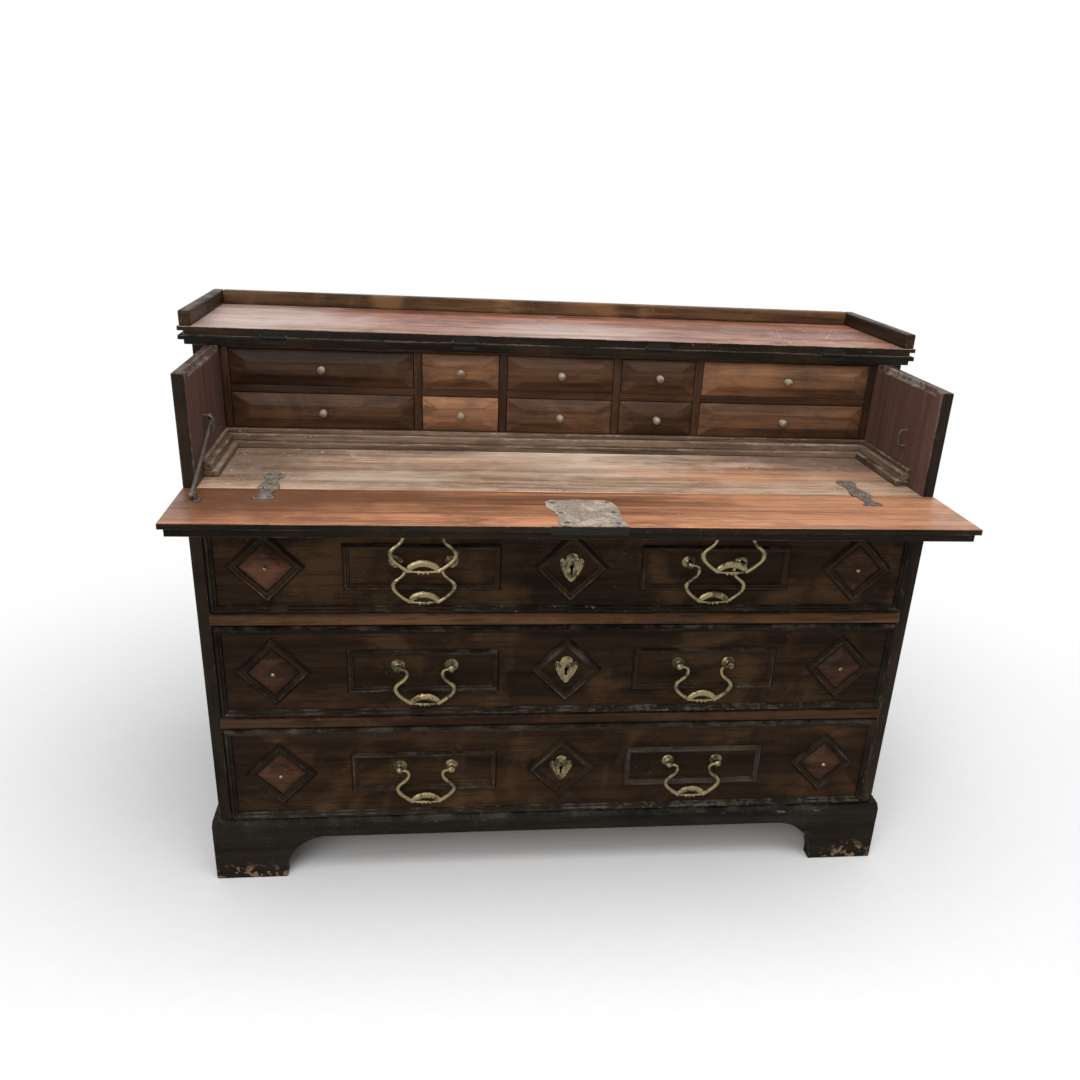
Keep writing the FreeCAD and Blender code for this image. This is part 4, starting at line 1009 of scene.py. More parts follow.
class ESCRITOIRE_OT_plinth(bpy.types.Operator):
    """Work the bracket plinth with its arches"""
    bl_idname = "escritoire.plinth"
    bl_label = "Plinth"

    def execute(self, context):
        front = cad_copy("plinth_front", "plinth_front_worked", "plinth", X, ease=0.0022)
        hand_over(front, "case", "ebonised_wood", "plinth_front")
        low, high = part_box("plinth_returns")
        rear = high.y - PLINTH_THICK
        boards = [self.arched(f"plinth_end_{hand}", (left, low.y, low.z), (left + PLINTH_THICK, rear, high.z))
                  for hand, left in zip(HANDS, (low.x, high.x - PLINTH_THICK))]
        boards.append(board("plinth_rear", (low.x, rear, low.z), high, "plinth"))
        hand_over(join("plinth_ends_worked", boards), "case", "ebonised_wood", "plinth_returns")
        return {"FINISHED"}

    def arched(self, name, low, high):
        """End board with an arch cut between its two feet."""
        piece = block(name, low, high)
        cutter = block(name + "_arch", (low[X] - PAST, low[Y] + FOOT_LENGTH, -PAST),
                       (high[X] + PAST, high[Y] - FOOT_LENGTH, ARCH_HEIGHT))
        round_edges(cutter, ARCH_ROUND, 12, lambda ends: all(end.z > ARCH_HEIGHT - NEAR for end in ends)
                    and abs(ends[0].y - ends[1].y) < NEAR)
        cut_away(piece, cutter)
        ease_edges(piece, 0.002)
        ring_faces(piece, sizes().wear_band)
        number(piece)
        return dress(piece, wood("plinth", Y))


class ESCRITOIRE_OT_top(bpy.types.Operator):
    """Work the fixed top, the folded lid and its fascia"""
    bl_idname = "escritoire.top"
    bl_label = "Top and lid"

    def execute(self, context):
        top = cad_copy("fixed_top", "fixed_top_worked", "ebonised", X, ease=0.0025)
        dark_edges(top, "walnut")
        hand_over(top, "case", "ebonised_wood", "fixed_top")
        lid = cad_copy("lid_board", "lid_worked", "lid", X, ease=0.0025)
        dark_edges(lid, "lid", "lid_edge")
        hand_over(lid, "lid", "red_walnut", "lid_board")
        low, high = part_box("lid_fascia")
        left, right = low.x + FASCIA_THICK, high.x - FASCIA_THICK
        strips = [board(f"fascia_{name}", strip_low, strip_high, "fascia", ease=0.003, tone=tone)
                  for name, strip_low, strip_high, tone in (
                      ("rear", (left, high.y - FASCIA_THICK, low.z), (right, high.y, high.z), 1.7),
                      ("left", low, (left, high.y, high.z), -0.2),
                      ("right", (right, low.y, low.z), high, -0.1))]
        hand_over(join("fascia_worked", strips), "lid", "dark_walnut", "lid_fascia")
        return {"FINISHED"}


# Writing compartment

SMALL_TONES = {"lower": (0.40, 2.7, 0.60, 0.00, 0.60), "upper": (-0.15, 1.2, -0.10, 0.05, 1.40)}
BAYS = range(1, 6)
NEST_BOARD = {"look": "red_walnut", "tone": -0.25}
NEST_GAP, NEST_SEAT = 0.001, 0.0003
SLIP = {"look": "slip", "ease": 0.0022, "band": 0.003, "tone": -0.52}
SLIP_DEPTH = 0.024
SLIP_STEPS = ((1.0, 0.0, 0.34), (0.60, 0.34, 0.74), (0.28, 0.74, 1.0))
SMALL_FRONT, SMALL_WALL, SMALL_BOTTOM, SMALL_DROP = 0.012, 0.007, 0.005, 0.004
KNOB = ((0.0, 0.0056), (0.0012, 0.0056), (0.0022, 0.0038), (0.0045, 0.0030), (0.0066, 0.0048),
        (0.0086, 0.0066), (0.0108, 0.0070), (0.0132, 0.0062), (0.0156, 0.0042), (0.0172, 0.0018),
        (0.0178, 0.0004))


class ESCRITOIRE_OT_nest(bpy.types.Operator):
    """Work the nest's boards and the mouldings round the writing bed"""
    bl_idname = "escritoire.nest"
    bl_label = "Nest of drawers"

    def execute(self, context):
        low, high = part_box("nest_frame")
        lower, upper = ([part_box(f"small_drawer_{row}_{place}") for place in BAYS]
                        for row in ("lower", "upper"))
        floor = lower[0][0].z - NEST_SEAT
        shelf_low = lower[0][1].z + NEST_GAP
        shelf_high = upper[0][0].z - NEST_SEAT
        head = upper[0][1].z + NEST_GAP
        lefts = [low.x] + [bay_high.x + NEST_GAP for _, bay_high in lower]
        rights = [bay_low.x - NEST_GAP for bay_low, _ in lower] + [high.x]
        boards = [board("nest_floor", low, (high.x, high.y, floor), **NEST_BOARD),
                  board("nest_head", (low.x, low.y, head), high, **NEST_BOARD)]
        for place, (left, right) in enumerate(zip(lefts, rights), start=1):
            boards.append(board(f"nest_upright_{place}", (left, low.y, floor), (right, high.y, head),
                                axis=Z, **NEST_BOARD))
        for place, left, right in zip(BAYS, rights, lefts[1:]):
            boards.append(board(f"nest_shelf_{place}", (left, low.y, shelf_low), (right, high.y, shelf_high),
                                axis=X, **NEST_BOARD))
        hand_over(join("nest_worked", boards), "case", "red_walnut", "nest_frame")
        self.mouldings()
        return {"FINISHED"}

    def mouldings(self):
        """Stepped mouldings: three eased slips on top of each other along each run."""
        low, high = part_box("inner_mouldings")
        rise = high.z - low.z
        slips = []
        for step, (out, base, top) in enumerate(SLIP_STEPS):
            wide = SLIP_DEPTH * out
            floor, ceiling = low.z + rise * base, low.z + rise * top
            inner = high.y - wide
            for run, left, right, front, rear in (("back", low.x, high.x, inner, high.y),
                                                  ("left", low.x, low.x + wide, low.y, inner),
                                                  ("right", high.x - wide, high.x, low.y, inner)):
                slips.append(board(f"slip_{run}_{step}", (left, front, floor), (right, rear, ceiling),
                                   **SLIP))
        hand_over(join("bed_mouldings_worked", slips), "case", "red_walnut", "inner_mouldings")


class ESCRITOIRE_OT_small_drawers(bpy.types.Operator):
    """Work the ten small drawers with hipped fronts and turned knobs"""
    bl_idname = "escritoire.small_drawers"
    bl_label = "Small drawers"

    def execute(self, context):
        knob = dress(turned("knob_model", KNOB, 20), finish("pale_knob"))
        for row, tones in SMALL_TONES.items():
            for place, tone in zip(BAYS, tones):
                self.drawer(f"small_drawer_{row}_{place}", tone, knob)
        discard(knob)
        return {"FINISHED"}

    def drawer(self, node, tone, knob):
        """One drawer with its own tone."""
        s = sizes()
        low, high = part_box(node)
        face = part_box("nest_frame")[0].y
        behind = face + SMALL_FRONT
        front = hipped(node + "_front", (low.x, face, low.z), (high.x, behind, high.z),
                       s.hip_rise, s.hip_side, s.hip_top, ease=0.0009, band=0.004)
        number(front, tone)
        dress(front, wood("red_walnut", X))
        pieces = [front] + tray(node, (low.x, behind, low.z), (high.x, high.y, high.z - SMALL_DROP),
                                SMALL_WALL, SMALL_BOTTOM)
        centre = ((low.x + high.x) / 2, face - s.hip_rise, (low.z + high.z) / 2)
        pieces.append(copy_to(knob, node + "_knob", centre, FACING))
        hand_over(join(node + "_worked", pieces), node, "red_walnut", node)


# Long drawers

PROFILE = ((0.05, 0.0), (0.28, 1.0), (0.22, 0.0), (0.14, -0.40), (0.20, -0.12), (0.11, -0.48))
CORE_TONES = {"lower": (0.20, 0.35), "middle": (0.10, 0.15), "upper": (0.90, 0.20)}
CORE_BASE = 0.0015
BOX_WALL, BOX_BOTTOM = 0.012, 0.008


def profile(width, proud):
    """Inset steps of one moulding: slope, flat, cove and inner bead."""
    return [(width * across, proud * up) for across, up in PROFILE]


class ESCRITOIRE_OT_long_drawers(bpy.types.Operator):
    """Work the three long drawers and the mouldings on their fronts"""
    bl_idname = "escritoire.long_drawers"
    bl_label = "Long drawers"

    def execute(self, context):
        s = sizes()
        panel = moulded_frame("panel_model", s.panel_width, s.panel_height,
                              profile(s.frame_width, s.frame_proud))
        diamond = moulded_frame("diamond_model", s.lozenge_side, s.lozenge_side,
                                profile(s.lozenge_frame, s.frame_proud))
        half = s.lozenge_core / 2
        core = hipped("core_model", (-half, -CORE_BASE, -half), (half, 0.0, half), s.core_proud - CORE_BASE,
                      s.lozenge_flat, s.lozenge_flat, ease=0.0008, band=0.003)
        dress(panel, wood("moulding", X))
        dress(diamond, wood("moulding", X))
        dress(core, wood("core", X))
        for level in LEVELS:
            self.front(level)
            self.mouldings(level, panel, diamond, core)
            self.box(level)
        discard(panel, diamond, core)
        return {"FINISHED"}

    def front(self, level):
        """Plain front board with its keyhole."""
        node = f"{level}_drawer_front"
        front = cad_copy(node, node + "_worked", "walnut", X, ease=0.0007, ring=False)
        mark_edges(front, lambda co: 0.0)
        hand_over(front, f"{level}_drawer", "dark_walnut", node)

    def mouldings(self, level, panel, diamond, core):
        """Border, two panels, three lozenge frames and two raised lozenges."""
        s = sizes()
        name = f"{level}_drawer"
        low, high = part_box(f"{name}_front")
        brass_low, brass_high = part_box(f"{name}_brass")
        centre = (brass_low.z + brass_high.z) / 2
        border = moulded_frame(f"{name}_border", high.x - low.x, high.z - low.z,
                               profile(s.border_width, s.border_proud))
        set_down(border, (0.0, low.y, (low.z + high.z) / 2))
        pieces = [dress(border, wood("ebonised", X))]
        for hand, sign, tone in zip(HANDS, (-1, 1), CORE_TONES[level]):
            pieces.append(copy_to(panel, f"{name}_panel_{hand}", (sign * s.panel_offset, low.y, centre)))
            at = (sign * s.lozenge_offset, low.y, centre)
            pieces.append(copy_to(core, f"{name}_core_{hand}", at, ON_POINT))
            number(pieces[-1], tone)
        for spot, x in (("left", -s.lozenge_offset), ("centre", 0.0), ("right", s.lozenge_offset)):
            pieces.append(copy_to(diamond, f"{name}_lozenge_{spot}", (x, low.y, centre), ON_POINT))
        hand_over(join(f"{name}_mouldings_worked", pieces), name, "ebonised_wood", f"{name}_mouldings")

    def box(self, level):
        """Sides, back and bottom behind the front."""
        name = f"{level}_drawer"
        boards = tray(name, *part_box(f"{name}_box"), BOX_WALL, BOX_BOTTOM)
        hand_over(join(f"{name}_box_worked", boards), name, "plain_wood", f"{name}_box")


# Brass, in metres along turned shapes and in millimetres along bars and outlines

def mirrored(points):
    """The same points on the other side of the middle."""
    return tuple((-x, *rest) for x, *rest in points)


def both_sides(half, *middle):
    """Points of one side, of the middle and back along the other side."""
    return (*half, *middle, *mirrored(half[::-1]))


POST = ((0.0, 0.0115), (0.0010, 0.0120), (0.0020, 0.0108), (0.0030, 0.0082), (0.0034, 0.0070),
        (0.0042, 0.0072), (0.0050, 0.0052), (0.0064, 0.0036), (0.0100, 0.0034), (0.0114, 0.0044),
        (0.0130, 0.0060), (0.0150, 0.0068), (0.0172, 0.0066), (0.0190, 0.0050), (0.0202, 0.0026),
        (0.0208, 0.0006))
POST_SIDES = (-0.5, 0.5)
STUD = ((0.0, 0.0045), (0.0008, 0.0046), (0.0022, 0.0040), (0.0036, 0.0026), (0.0044, 0.0010),
        (0.0046, 0.0003))
SWAN_NECK = ((50, 0, 2.4), (44, 0, 2.4), (35, 0, 2.7), (30, -5, 3.2), (30, -13, 3.4), (36, -22, 3.4),
             (46, -28, 3.8), (52, -36, 4.3), (49, -46, 4.0), (41, -54, 3.6), (32, -61, 4.0), (23, -66, 4.4))
ARCH = both_sides(((26, -68.5, 3.6), (22, -61, 5.6), (11, -54.5, 6.2)), (0, -53, 6.4))
ARCH_FLATNESS = 0.62
BAR = both_sides(((27, -67, 1.8), (10, -68, 2.3)), (0, -68.5, 2.5))
LEAF = ((0, -66.5, 2.0), (1, -68.5, 3.2), (1.5, -71, 3.2), (1.5, -73.2, 0.8))
LEAF_PLACES = (-6.2, 0.0, 6.2)
PETAL = ((4.5, -22), (9.5, -17), (13, -10), (17, -2), (20.5, 6), (20, 14), (16, 17.5), (12, 13), (10.5, 17),
         (8.5, 23), (4, 25.5))
SHIELD = ((0, -26), *both_sides(PETAL, (0, 26)))
KEYHOLE = ((0, 5.5), *both_sides(((2.8, 4.3), (4.1, 1.2), (2.8, -1.8), (2.3, -4), (2.5, -11.5))))
KEY_RIM = ((0, -17, 1.0), (5, -13, 1.2), (7.5, -3, 1.3), (7.5, 6, 1.3), (4, 13, 1.2), (0, 16, 1.0))
PETAL_RIB = ((2, -22, 0.9), (8, -14, 1.5), (13, -3, 1.7), (16, 8, 1.5), (15.5, 14, 0.8))
SHIELD_SOFTNESS, RIB_SEAT = 0.0006, 0.0018


class ESCRITOIRE_OT_brass(bpy.types.Operator):
    """Cast the bails, posts, escutcheons and studs"""
    bl_idname = "escritoire.brass"
    bl_label = "Brass"

    def execute(self, context):
        metal = finish("old_brass")
        bail = dress(self.bail(), metal)
        post = dress(turned("post_model", POST), metal)
        mark_edges(post, lambda co: 0.55 * max(0.0, co.z / 0.02) - 0.45)
        stud = dress(turned("stud_model", STUD, 16), metal)
        shield = dress(self.shield(), metal)
        for level in LEVELS:
            self.drawer_brass(level, post, stud, shield)
            for hand in HANDS:
                self.hang(bail, f"{level}_drawer_bail_{hand}", f"{level}_handle_{hand}")
        self.fall_handles(bail, post)
        discard(bail, post, stud, shield)
        return {"FINISHED"}

    def hang(self, bail, node, body):
        """Hang a copy of the bail on its pins and tell where they are."""
        at = joint_place(f"{body}_swing")
        hand_over(copy_to(bail, node + "_worked", at), body, "brass", node)
        return at

    def fall_handles(self, bail, post):
        """Bails under the fall, on short posts."""
        low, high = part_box("fall_handle_posts")
        posts = []
        for hand in HANDS:
            at = self.hang(bail, f"fall_bail_{hand}", f"fall_handle_{hand}")
            for side in POST_SIDES:
                short = copy_to(post, f"fall_post_{hand}_{side}", UPRIGHT, HANGING)
                short.scale.z = (high.z - low.z) / POST[-1][0]
                posts.append(set_down(short, (at.x + side * sizes().post_spacing, at.y, high.z)))
        hand_over(join("fall_posts_worked", posts), "fall", "brass", "fall_handle_posts")

    def bail(self):
        """Swan-necked bail with a thick arched middle, a bar and three small leaves below."""
        arch = rod("bail_arch", ARCH)
        arch.scale.y = ARCH_FLATNESS
        parts = [rod("bail_neck_right", SWAN_NECK), rod("bail_neck_left", mirrored(SWAN_NECK)), settle(arch),
                 rod("bail_bar", BAR)]
        for place in LEAF_PLACES:
            lean = math.copysign(1.0, place) if place else 0.0
            parts.append(rod(f"bail_leaf_{place}", [(place + lean * x, z, radius) for x, z, radius in LEAF]))
        piece = join("bail_model", parts)
        mark_edges(piece, lambda co: 0.3 + 0.6 * min(1.0, max(0.0, -co.y / 0.004)))
        return piece

    def shield(self):
        """Tulip-shaped escutcheon: cut plate, raised rim round the keyhole and a rib on each petal."""
        plate = cut_plate("shield_plate", SHIELD_SOFTNESS, ("NURBS", SHIELD), ("POLY", KEYHOLE))
        mark_edges(plate, lambda co: 0.35 - abs(co.x) / 0.034)
        parts = [set_down(plate, (0.0, -PLATE_THICK / 2, 0.0), FACING)]
        for line in (KEY_RIM, PETAL_RIB):
            for hand, points in zip(HANDS, (mirrored(line), line)):
                rib = set_down(rod(f"shield_rib_{hand}", points), (0.0, -RIB_SEAT, 0.0))
                mark_edges(rib, lambda co: 0.9)
                parts.append(rib)
        return join("shield_model", parts)

    def drawer_brass(self, level, post, stud, shield):
        """Escutcheon, posts and studs of one drawer."""
        s = sizes()
        name = f"{level}_drawer"
        low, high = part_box(f"{name}_brass")
        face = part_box(f"{name}_front")[0].y
        middle = (low.z + high.z) / 2
        pieces = [copy_to(shield, f"{name}_shield", (0.0, face, middle))]
        for hand, sign in zip(HANDS, (-1, 1)):
            at = joint_place(f"{level}_handle_{hand}_swing")
            for side in POST_SIDES:
                pieces.append(copy_to(post, f"{name}_post_{hand}_{side}",
                                      (at.x + side * s.post_spacing, face, at.z), FACING))
            pieces.append(copy_to(stud, f"{name}_stud_{hand}",
                                  (sign * s.lozenge_offset, face - s.core_proud, middle), FACING))
        hand_over(join(f"{name}_brass_worked", pieces), name, "brass", f"{name}_brass")


# Fall and ironwork

PLATE = ((-45, -65.5), (0, -65.5), (46, -65.5), (58, -63), (55, -45), (53, -20), (56, 8), (55, 34), (49, 54),
         (36, 63), (14, 60), (-8, 64), (-30, 60), (-46, 63), (-58, 50), (-56, 36), (-59, 22), (-47, 8),
         (-43, -20), (-46, -45))
PLATE_NAILS = ((-34, -52), (44, -52), (-46, 46), (42, 50), (-38, -6), (45, 0))
BED_LEAF = (*both_sides(((-16, 1), (-16, 16), (-11, 30), (-9, 46), (-12, 58), (-16, 66), (-15, 80), (-9, 84),
                         (-5, 93)), (0, 88)),
            (7, 1), (7, 6.5), (-7, 6.5), (-7, 1))
BED_NAILS = ((0, 20), (-9, 74), (9, 74))
FALL_LEAF = both_sides(((-5.5, -1), (-5.5, -6), (-11, -7), (-10, -18), (-8, -32), (-11, -42), (-16, -50),
                        (-14, -58), (-7, -54)), (0, -59))
FALL_NAILS = ((0, -16), (-9, -49), (9, -49))
NAIL = ((0.0, 0.0042), (0.0004, 0.0042), (0.0010, 0.0032), (0.0013, 0.0014), (0.0014, 0.0003))
STRAP_PLACES = (-0.490, 0.490)
IRON_SOFTNESS = 0.0004
NAIL_SEAT, PLATE_NAIL_SINK = 0.0018, 0.0003
ROLL_STEP, BED_ROLL, FALL_ROLL = 0.01155, 0.0047, 0.0063
ROLL_RADIUS, ROLL_END, ROLL_EASE = 0.0040, 0.0034, 0.0006
STAPLE = ((0, 0, 2.4), (10, 0, 2.4), (14.5, 3, 2.3), (14.5, 14, 2.0), (14.5, 25, 2.3), (10, 28, 2.4),
          (0, 28, 2.4))
STAPLE_Y, STAPLE_DROP = -0.106, 0.0295
STAY_GAP = 0.0034
STAY_PIN = ((0.0, 0.0025), (0.0062, 0.0025), (0.0068, 0.0020))
FOOT_SIZE, LUG_SIZE, LUG_EASE = (0.009, 0.011, 0.002), (0.003, 0.0055, 0.0135), 0.0008
MOUTH_PLAY, MOUTH_BELOW, MOUTH_THICK, MOUTH_EASE = 0.0003, 0.0025, 0.0015, 0.0003


class ESCRITOIRE_OT_fall(bpy.types.Operator):
    """Work the fall board"""
    bl_idname = "escritoire.fall"
    bl_label = "Fall"

    def execute(self, context):
        fall = cad_copy("fall_board", "fall_worked", "fall", X, ease=0.0018)
        dark_edges(fall, "fall")
        hand_over(fall, "fall", "red_walnut", "fall_board")
        return {"FINISHED"}


class ESCRITOIRE_OT_ironwork(bpy.types.Operator):
    """Forge the strap hinges, the lock plate, the stay, the lid hinges and the locks"""
    bl_idname = "escritoire.ironwork"
    bl_label = "Ironwork"

    def execute(self, context):
        nail = dress(turned("nail_model", NAIL, 14), finish("dark_iron"))
        self.straps(nail)
        self.lock_plate(nail)
        discard(nail)
        locks = [f"{level}_drawer_{part}" for level in LEVELS for part in ("lock", "lock_bolt")]
        for metal, nodes in (("dark_iron", ["fall_stay", *locks]),
                             ("black_iron", ["fall_lock_bolt", "top_hinge_leaves", "lid_hinge_leaves"])):
            for node in nodes:
                dress(frame["nodes"][node], finish(metal))
        return {"FINISHED"}

    def leaf(self, name, outline, x, nails, nail):
        """One forged leaf with its nails."""
        line = joint_place("fall_hinge")
        plate = cut_plate(name, IRON_SOFTNESS, ("POLY", outline))
        set_down(plate, (x, line.y, line.z + PLATE_THICK / 2))
        parts = [dress(plate, finish("strap_iron"))]
        for place, (across, along) in enumerate(nails):
            at = (x + mm(across), line.y + mm(along), line.z + NAIL_SEAT)
            parts.append(copy_to(nail, f"{name}_nail_{place}", at))
        return parts

    def knuckle(self, name, x, reach):
        """Rolled knuckle along the hinge line."""
        line = joint_place("fall_hinge")
        shape = ((-reach, ROLL_END), (-reach + ROLL_EASE, ROLL_RADIUS), (reach - ROLL_EASE, ROLL_RADIUS),
                 (reach, ROLL_END))
        roll = set_down(turned(name, shape, 16), (x, line.y, line.z), RIGHTWARD)
        return dress(roll, finish("strap_iron"))

    def straps(self, nail):
        """Both strap hinges, the guides of the stay and the bracket that carries it."""
        bed_parts, fall_parts = [], []
        for hand, x in zip(HANDS, STRAP_PLACES):
            bed_parts += self.leaf(f"bed_leaf_{hand}", BED_LEAF, x, BED_NAILS, nail)
            bed_parts += [self.knuckle(f"bed_roll_{hand}_{side}", x + side * ROLL_STEP, BED_ROLL)
                          for side in (-1, 1)]
            fall_parts += self.leaf(f"fall_leaf_{hand}", FALL_LEAF, x, FALL_NAILS, nail)
            fall_parts.append(self.knuckle(f"fall_roll_{hand}", x, FALL_ROLL))
        low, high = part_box("case_ironwork")
        for hand, wall, line in zip(HANDS, (low.x, high.x), (STAPLE, mirrored(STAPLE))):
            staple = set_down(rod(f"stay_guide_{hand}", line), (wall, STAPLE_Y, high.z - STAPLE_DROP))
            bed_parts.append(dress(staple, finish("dark_iron")))
        hand_over(join("case_iron_worked", bed_parts), "case", "iron", "case_ironwork")
        fall_parts += self.bracket()
        hand_over(join("fall_iron_worked", fall_parts), "fall", "iron", "fall_ironwork")

    def bracket(self):
        """Small bracket on the fall with the pivot of the stay."""
        pivot = joint_place("stay_pivot")
        top = joint_place("fall_hinge").z
        left = pivot.x + STAY_GAP
        parts = []
        for name, (wide, half, rise), ease in (("stay_foot", FOOT_SIZE, None),
                                               ("stay_lug", LUG_SIZE, LUG_EASE)):
            parts.append(eased_block(name, (left, pivot.y - half, top),
                                     (left + wide, pivot.y + half, top + rise), ease))
        parts.append(set_down(turned("stay_pin", STAY_PIN, 16), (left, pivot.y, pivot.z), LEFTWARD))
        return [dress(part, finish("dark_iron")) for part in parts]

    def lock_plate(self, nail):
        """Pitted cover plate with nails, and the edge plate with the mouth of the bolt."""
        low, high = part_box("fall_lock")
        middle = Vector(((low.x + high.x) / 2, (low.y + high.y) / 2, high.z))
        plate = cut_plate("cover_plate", IRON_SOFTNESS, ("NURBS", PLATE))
        set_down(plate, middle - Vector((0.0, 0.0, PLATE_THICK / 2)))
        parts = [dress(plate, finish("lock_plate_iron"))]
        for x, y in PLATE_NAILS:
            at = middle + Vector((mm(x), mm(y), -PLATE_NAIL_SINK))
            parts.append(copy_to(nail, f"plate_nail_{x}_{y}", at))
        bolt_low, bolt_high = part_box("fall_lock_bolt")
        left, right = bolt_low.x - MOUTH_PLAY, bolt_high.x + MOUTH_PLAY
        top, bottom = high.z - PLATE_THICK, bolt_low.z - MOUTH_BELOW
        mouth = ((low.x, left, bottom, top), (right, high.x, bottom, top),
                 (left, right, bolt_high.z + MOUTH_PLAY, top), (left, right, bottom, bolt_low.z - MOUTH_PLAY))
        for place, (start, end, floor, ceiling) in enumerate(mouth):
            strip = eased_block(f"edge_plate_{place}", (start, low.y, floor),
                                (end, low.y + MOUTH_THICK, ceiling), MOUTH_EASE)
            parts.append(dress(strip, finish("black_iron")))
        hand_over(join("fall_lock_worked", parts), "fall", "iron", "fall_lock")


# Stage

Lamp = namedtuple("Lamp", "name place aim width power")
LAMPS = (Lamp("top_light", (0.3, -0.9, 3.4), (0.1, 0.05, 0.5), 3.2, 92.0),
         Lamp("front_light", (-1.6, -3.4, 2.2), (0.0, 0.0, 0.5), 2.6, 60.0))
FLOOR_SPAN, SHADOW_END, WHITE_START = 40.0, 0.75, 1.9
FLOOR_SHADES = ((0.86, 0.86, 0.86), (0.90, 0.90, 0.90))
WHITE = (1.0, 1.0, 1.0)
SOFT_LIGHT = 0.42
EYE = (-0.23148, -1.80456, 1.22883)
YAW, PITCH, ROLL = 0.140307, 0.429763, 0.053094
PICTURE, FOCAL, SHIFT_X, SHIFT_Y, SENSOR = 1080.0, 1018.07, -24.77, 94.79, 36.0


def show_white(tree, output, plain, white, share):
    """Show white by a share in place of a plain shader, to camera, glossy and transmitted rays."""
    rays = put_node(tree, "ShaderNodeLightPath").outputs
    seen = sums(tree, "MAXIMUM", rays["Is Glossy Ray"], rays["Is Transmission Ray"])
    seen = sums(tree, "MAXIMUM", rays["Is Camera Ray"], seen)
    mixed = tree.nodes.new("ShaderNodeMixShader")
    for socket, source in zip(mixed.inputs, (times(tree, seen, share), plain.outputs[0], white.outputs[0])):
        tree.links.new(source, socket)
    tree.links.new(mixed.outputs[0], tree.nodes[output].inputs["Surface"])


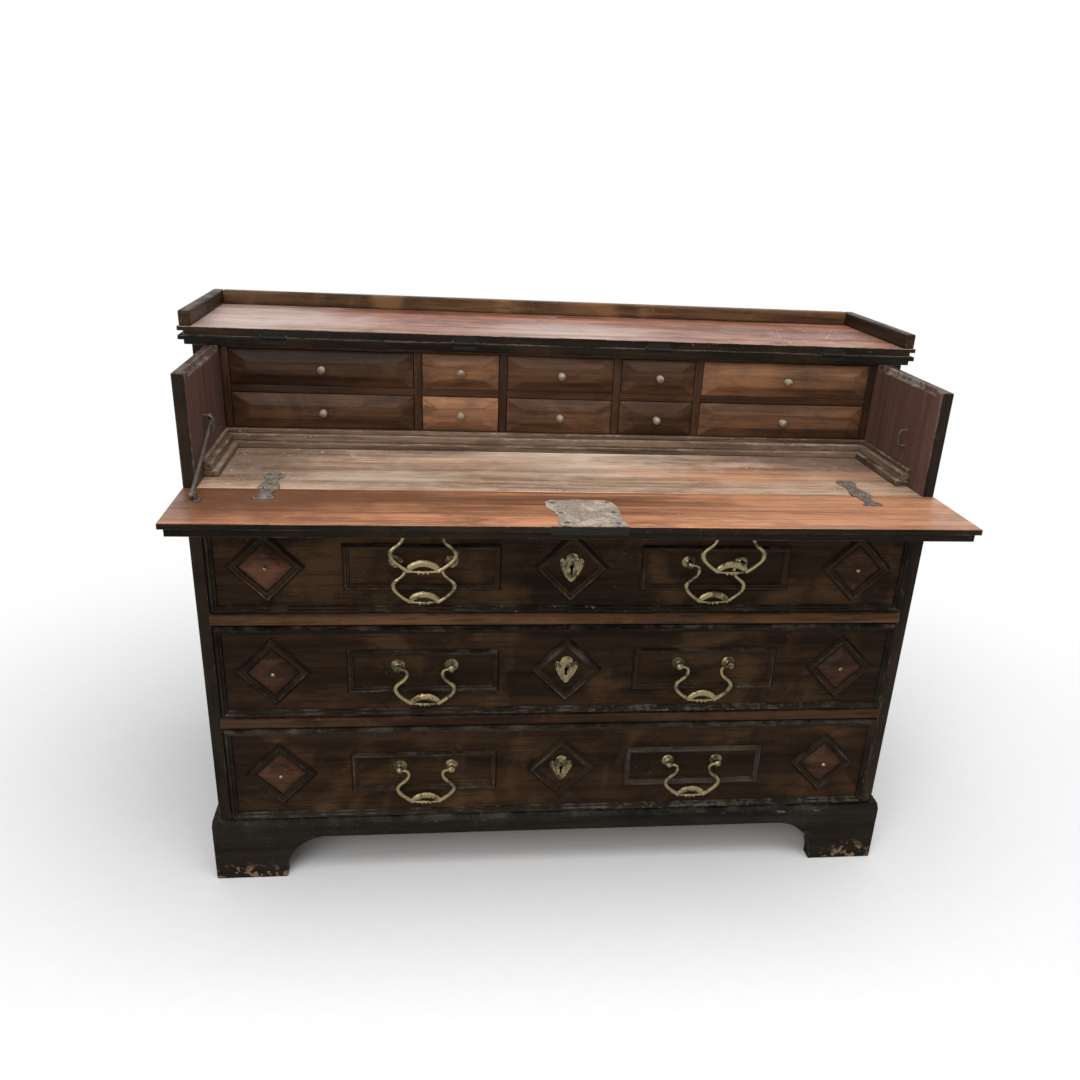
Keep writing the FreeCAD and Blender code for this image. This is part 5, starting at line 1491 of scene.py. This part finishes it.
class ESCRITOIRE_OT_stage(bpy.types.Operator):
    """Set the floor, the soft lamps, the white surround and the camera"""
    bl_idname = "escritoire.stage"
    bl_label = "Stage"

    def execute(self, context):
        self.floor()
        for lamp in LAMPS:
            self.light(lamp)
        self.surround()
        self.camera()
        context.scene.view_settings.view_transform = "Standard"
        return {"FINISHED"}

    def floor(self):
        """Pale floor that runs out into white."""
        lay_down()
        bpy.ops.mesh.primitive_plane_add(size=1.0)
        piece = named("floor")
        piece.scale = (FLOOR_SPAN, FLOOR_SPAN, 1.0)
        material, tree, shader = blank("pale_floor")
        place = object_place(tree)
        mottle = blend(tree, cloud(tree, place, scale=30.0, detail=3.0), *FLOOR_SHADES)
        wire(tree, shader, Base_Color=mottle, Roughness=0.8, Specular_IOR_Level=0.1)
        away = ramp(tree, vectors(tree, "LENGTH", place), SHADOW_END, WHITE_START)
        white = put_node(tree, "ShaderNodeEmission", None, Color=WHITE, Strength=1.0)
        show_white(tree, "Material Output", shader, white, away)
        dress(settle(piece), material)

    def light(self, lamp):
        """Round soft lamp turned to what it lights."""
        data = bpy.data.lights.new(lamp.name, "AREA")
        data.shape = "DISK"
        data.size = lamp.width
        data.energy = lamp.power
        piece = bring(lamp.name, data)
        piece.location = lamp.place
        piece.rotation_euler = (Vector(lamp.aim) - Vector(lamp.place)).to_track_quat("-Z", "Y").to_euler()

    def surround(self):
        """Soft grey light all round, seen as plain white."""
        world = bpy.data.worlds.new("studio")
        world.use_nodes = True
        bpy.context.scene.world = world
        tree = world.node_tree
        soft = wire(tree, tree.nodes["Background"], Color=WHITE, Strength=SOFT_LIGHT)
        white = put_node(tree, "ShaderNodeBackground", None, Color=WHITE, Strength=1.0)
        show_white(tree, "World Output", soft, white, 1.0)

    def camera(self):
        """Camera at standing eye height, a little left of the middle."""
        ahead = Vector((math.sin(YAW) * math.cos(PITCH), math.cos(YAW) * math.cos(PITCH), -math.sin(PITCH)))
        right = Vector((math.cos(YAW), -math.sin(YAW), 0.0))
        up = right.cross(ahead)
        across = right * math.cos(ROLL) + up * math.sin(ROLL)
        upright = up * math.cos(ROLL) - right * math.sin(ROLL)
        data = bpy.data.cameras.new("camera")
        data.sensor_width = SENSOR
        data.lens = SENSOR * FOCAL / PICTURE
        data.shift_x = SHIFT_X / PICTURE
        data.shift_y = SHIFT_Y / PICTURE
        camera = bring("camera", data)
        turn = Matrix((across, upright, -ahead)).transposed().to_4x4()
        camera.matrix_world = Matrix.Translation(EYE) @ turn
        bpy.context.scene.camera = camera


class ESCRITOIRE_PT_bench(bpy.types.Panel):
    """Steps, sizes and colours of the escritoire"""
    bl_idname = "ESCRITOIRE_PT_bench"
    bl_label = "Escritoire"
    bl_space_type = "VIEW_3D"
    bl_region_type = "UI"
    bl_category = "Escritoire"

    def draw(self, context):
        for step in STEPS:
            self.layout.operator(step.bl_idname)
        for store in (sizes(), colours()):
            column = self.layout.column(align=True)
            for name in store.bl_rna.properties.keys():
                if name not in ("rna_type", "name"):
                    column.prop(store, name)


STEPS = (ESCRITOIRE_OT_case, ESCRITOIRE_OT_plinth, ESCRITOIRE_OT_top, ESCRITOIRE_OT_nest,
         ESCRITOIRE_OT_small_drawers, ESCRITOIRE_OT_long_drawers, ESCRITOIRE_OT_brass, ESCRITOIRE_OT_fall,
         ESCRITOIRE_OT_ironwork, ESCRITOIRE_OT_stage)
CLASSES = (EscritoireSizes, EscritoireColours, *STEPS, ESCRITOIRE_PT_bench)


def register():
    for item in CLASSES:
        bpy.utils.register_class(item)
    bpy.types.Scene.escritoire_sizes = PointerProperty(type=EscritoireSizes)
    bpy.types.Scene.escritoire_colours = PointerProperty(type=EscritoireColours)


def unregister():
    del bpy.types.Scene.escritoire_colours
    del bpy.types.Scene.escritoire_sizes
    for item in reversed(CLASSES):
        bpy.utils.unregister_class(item)


def main():
    register()
    for step in STEPS:
        getattr(bpy.ops.escritoire, step.bl_idname.split(".")[1])()


if __name__ == "__main__":
    main()
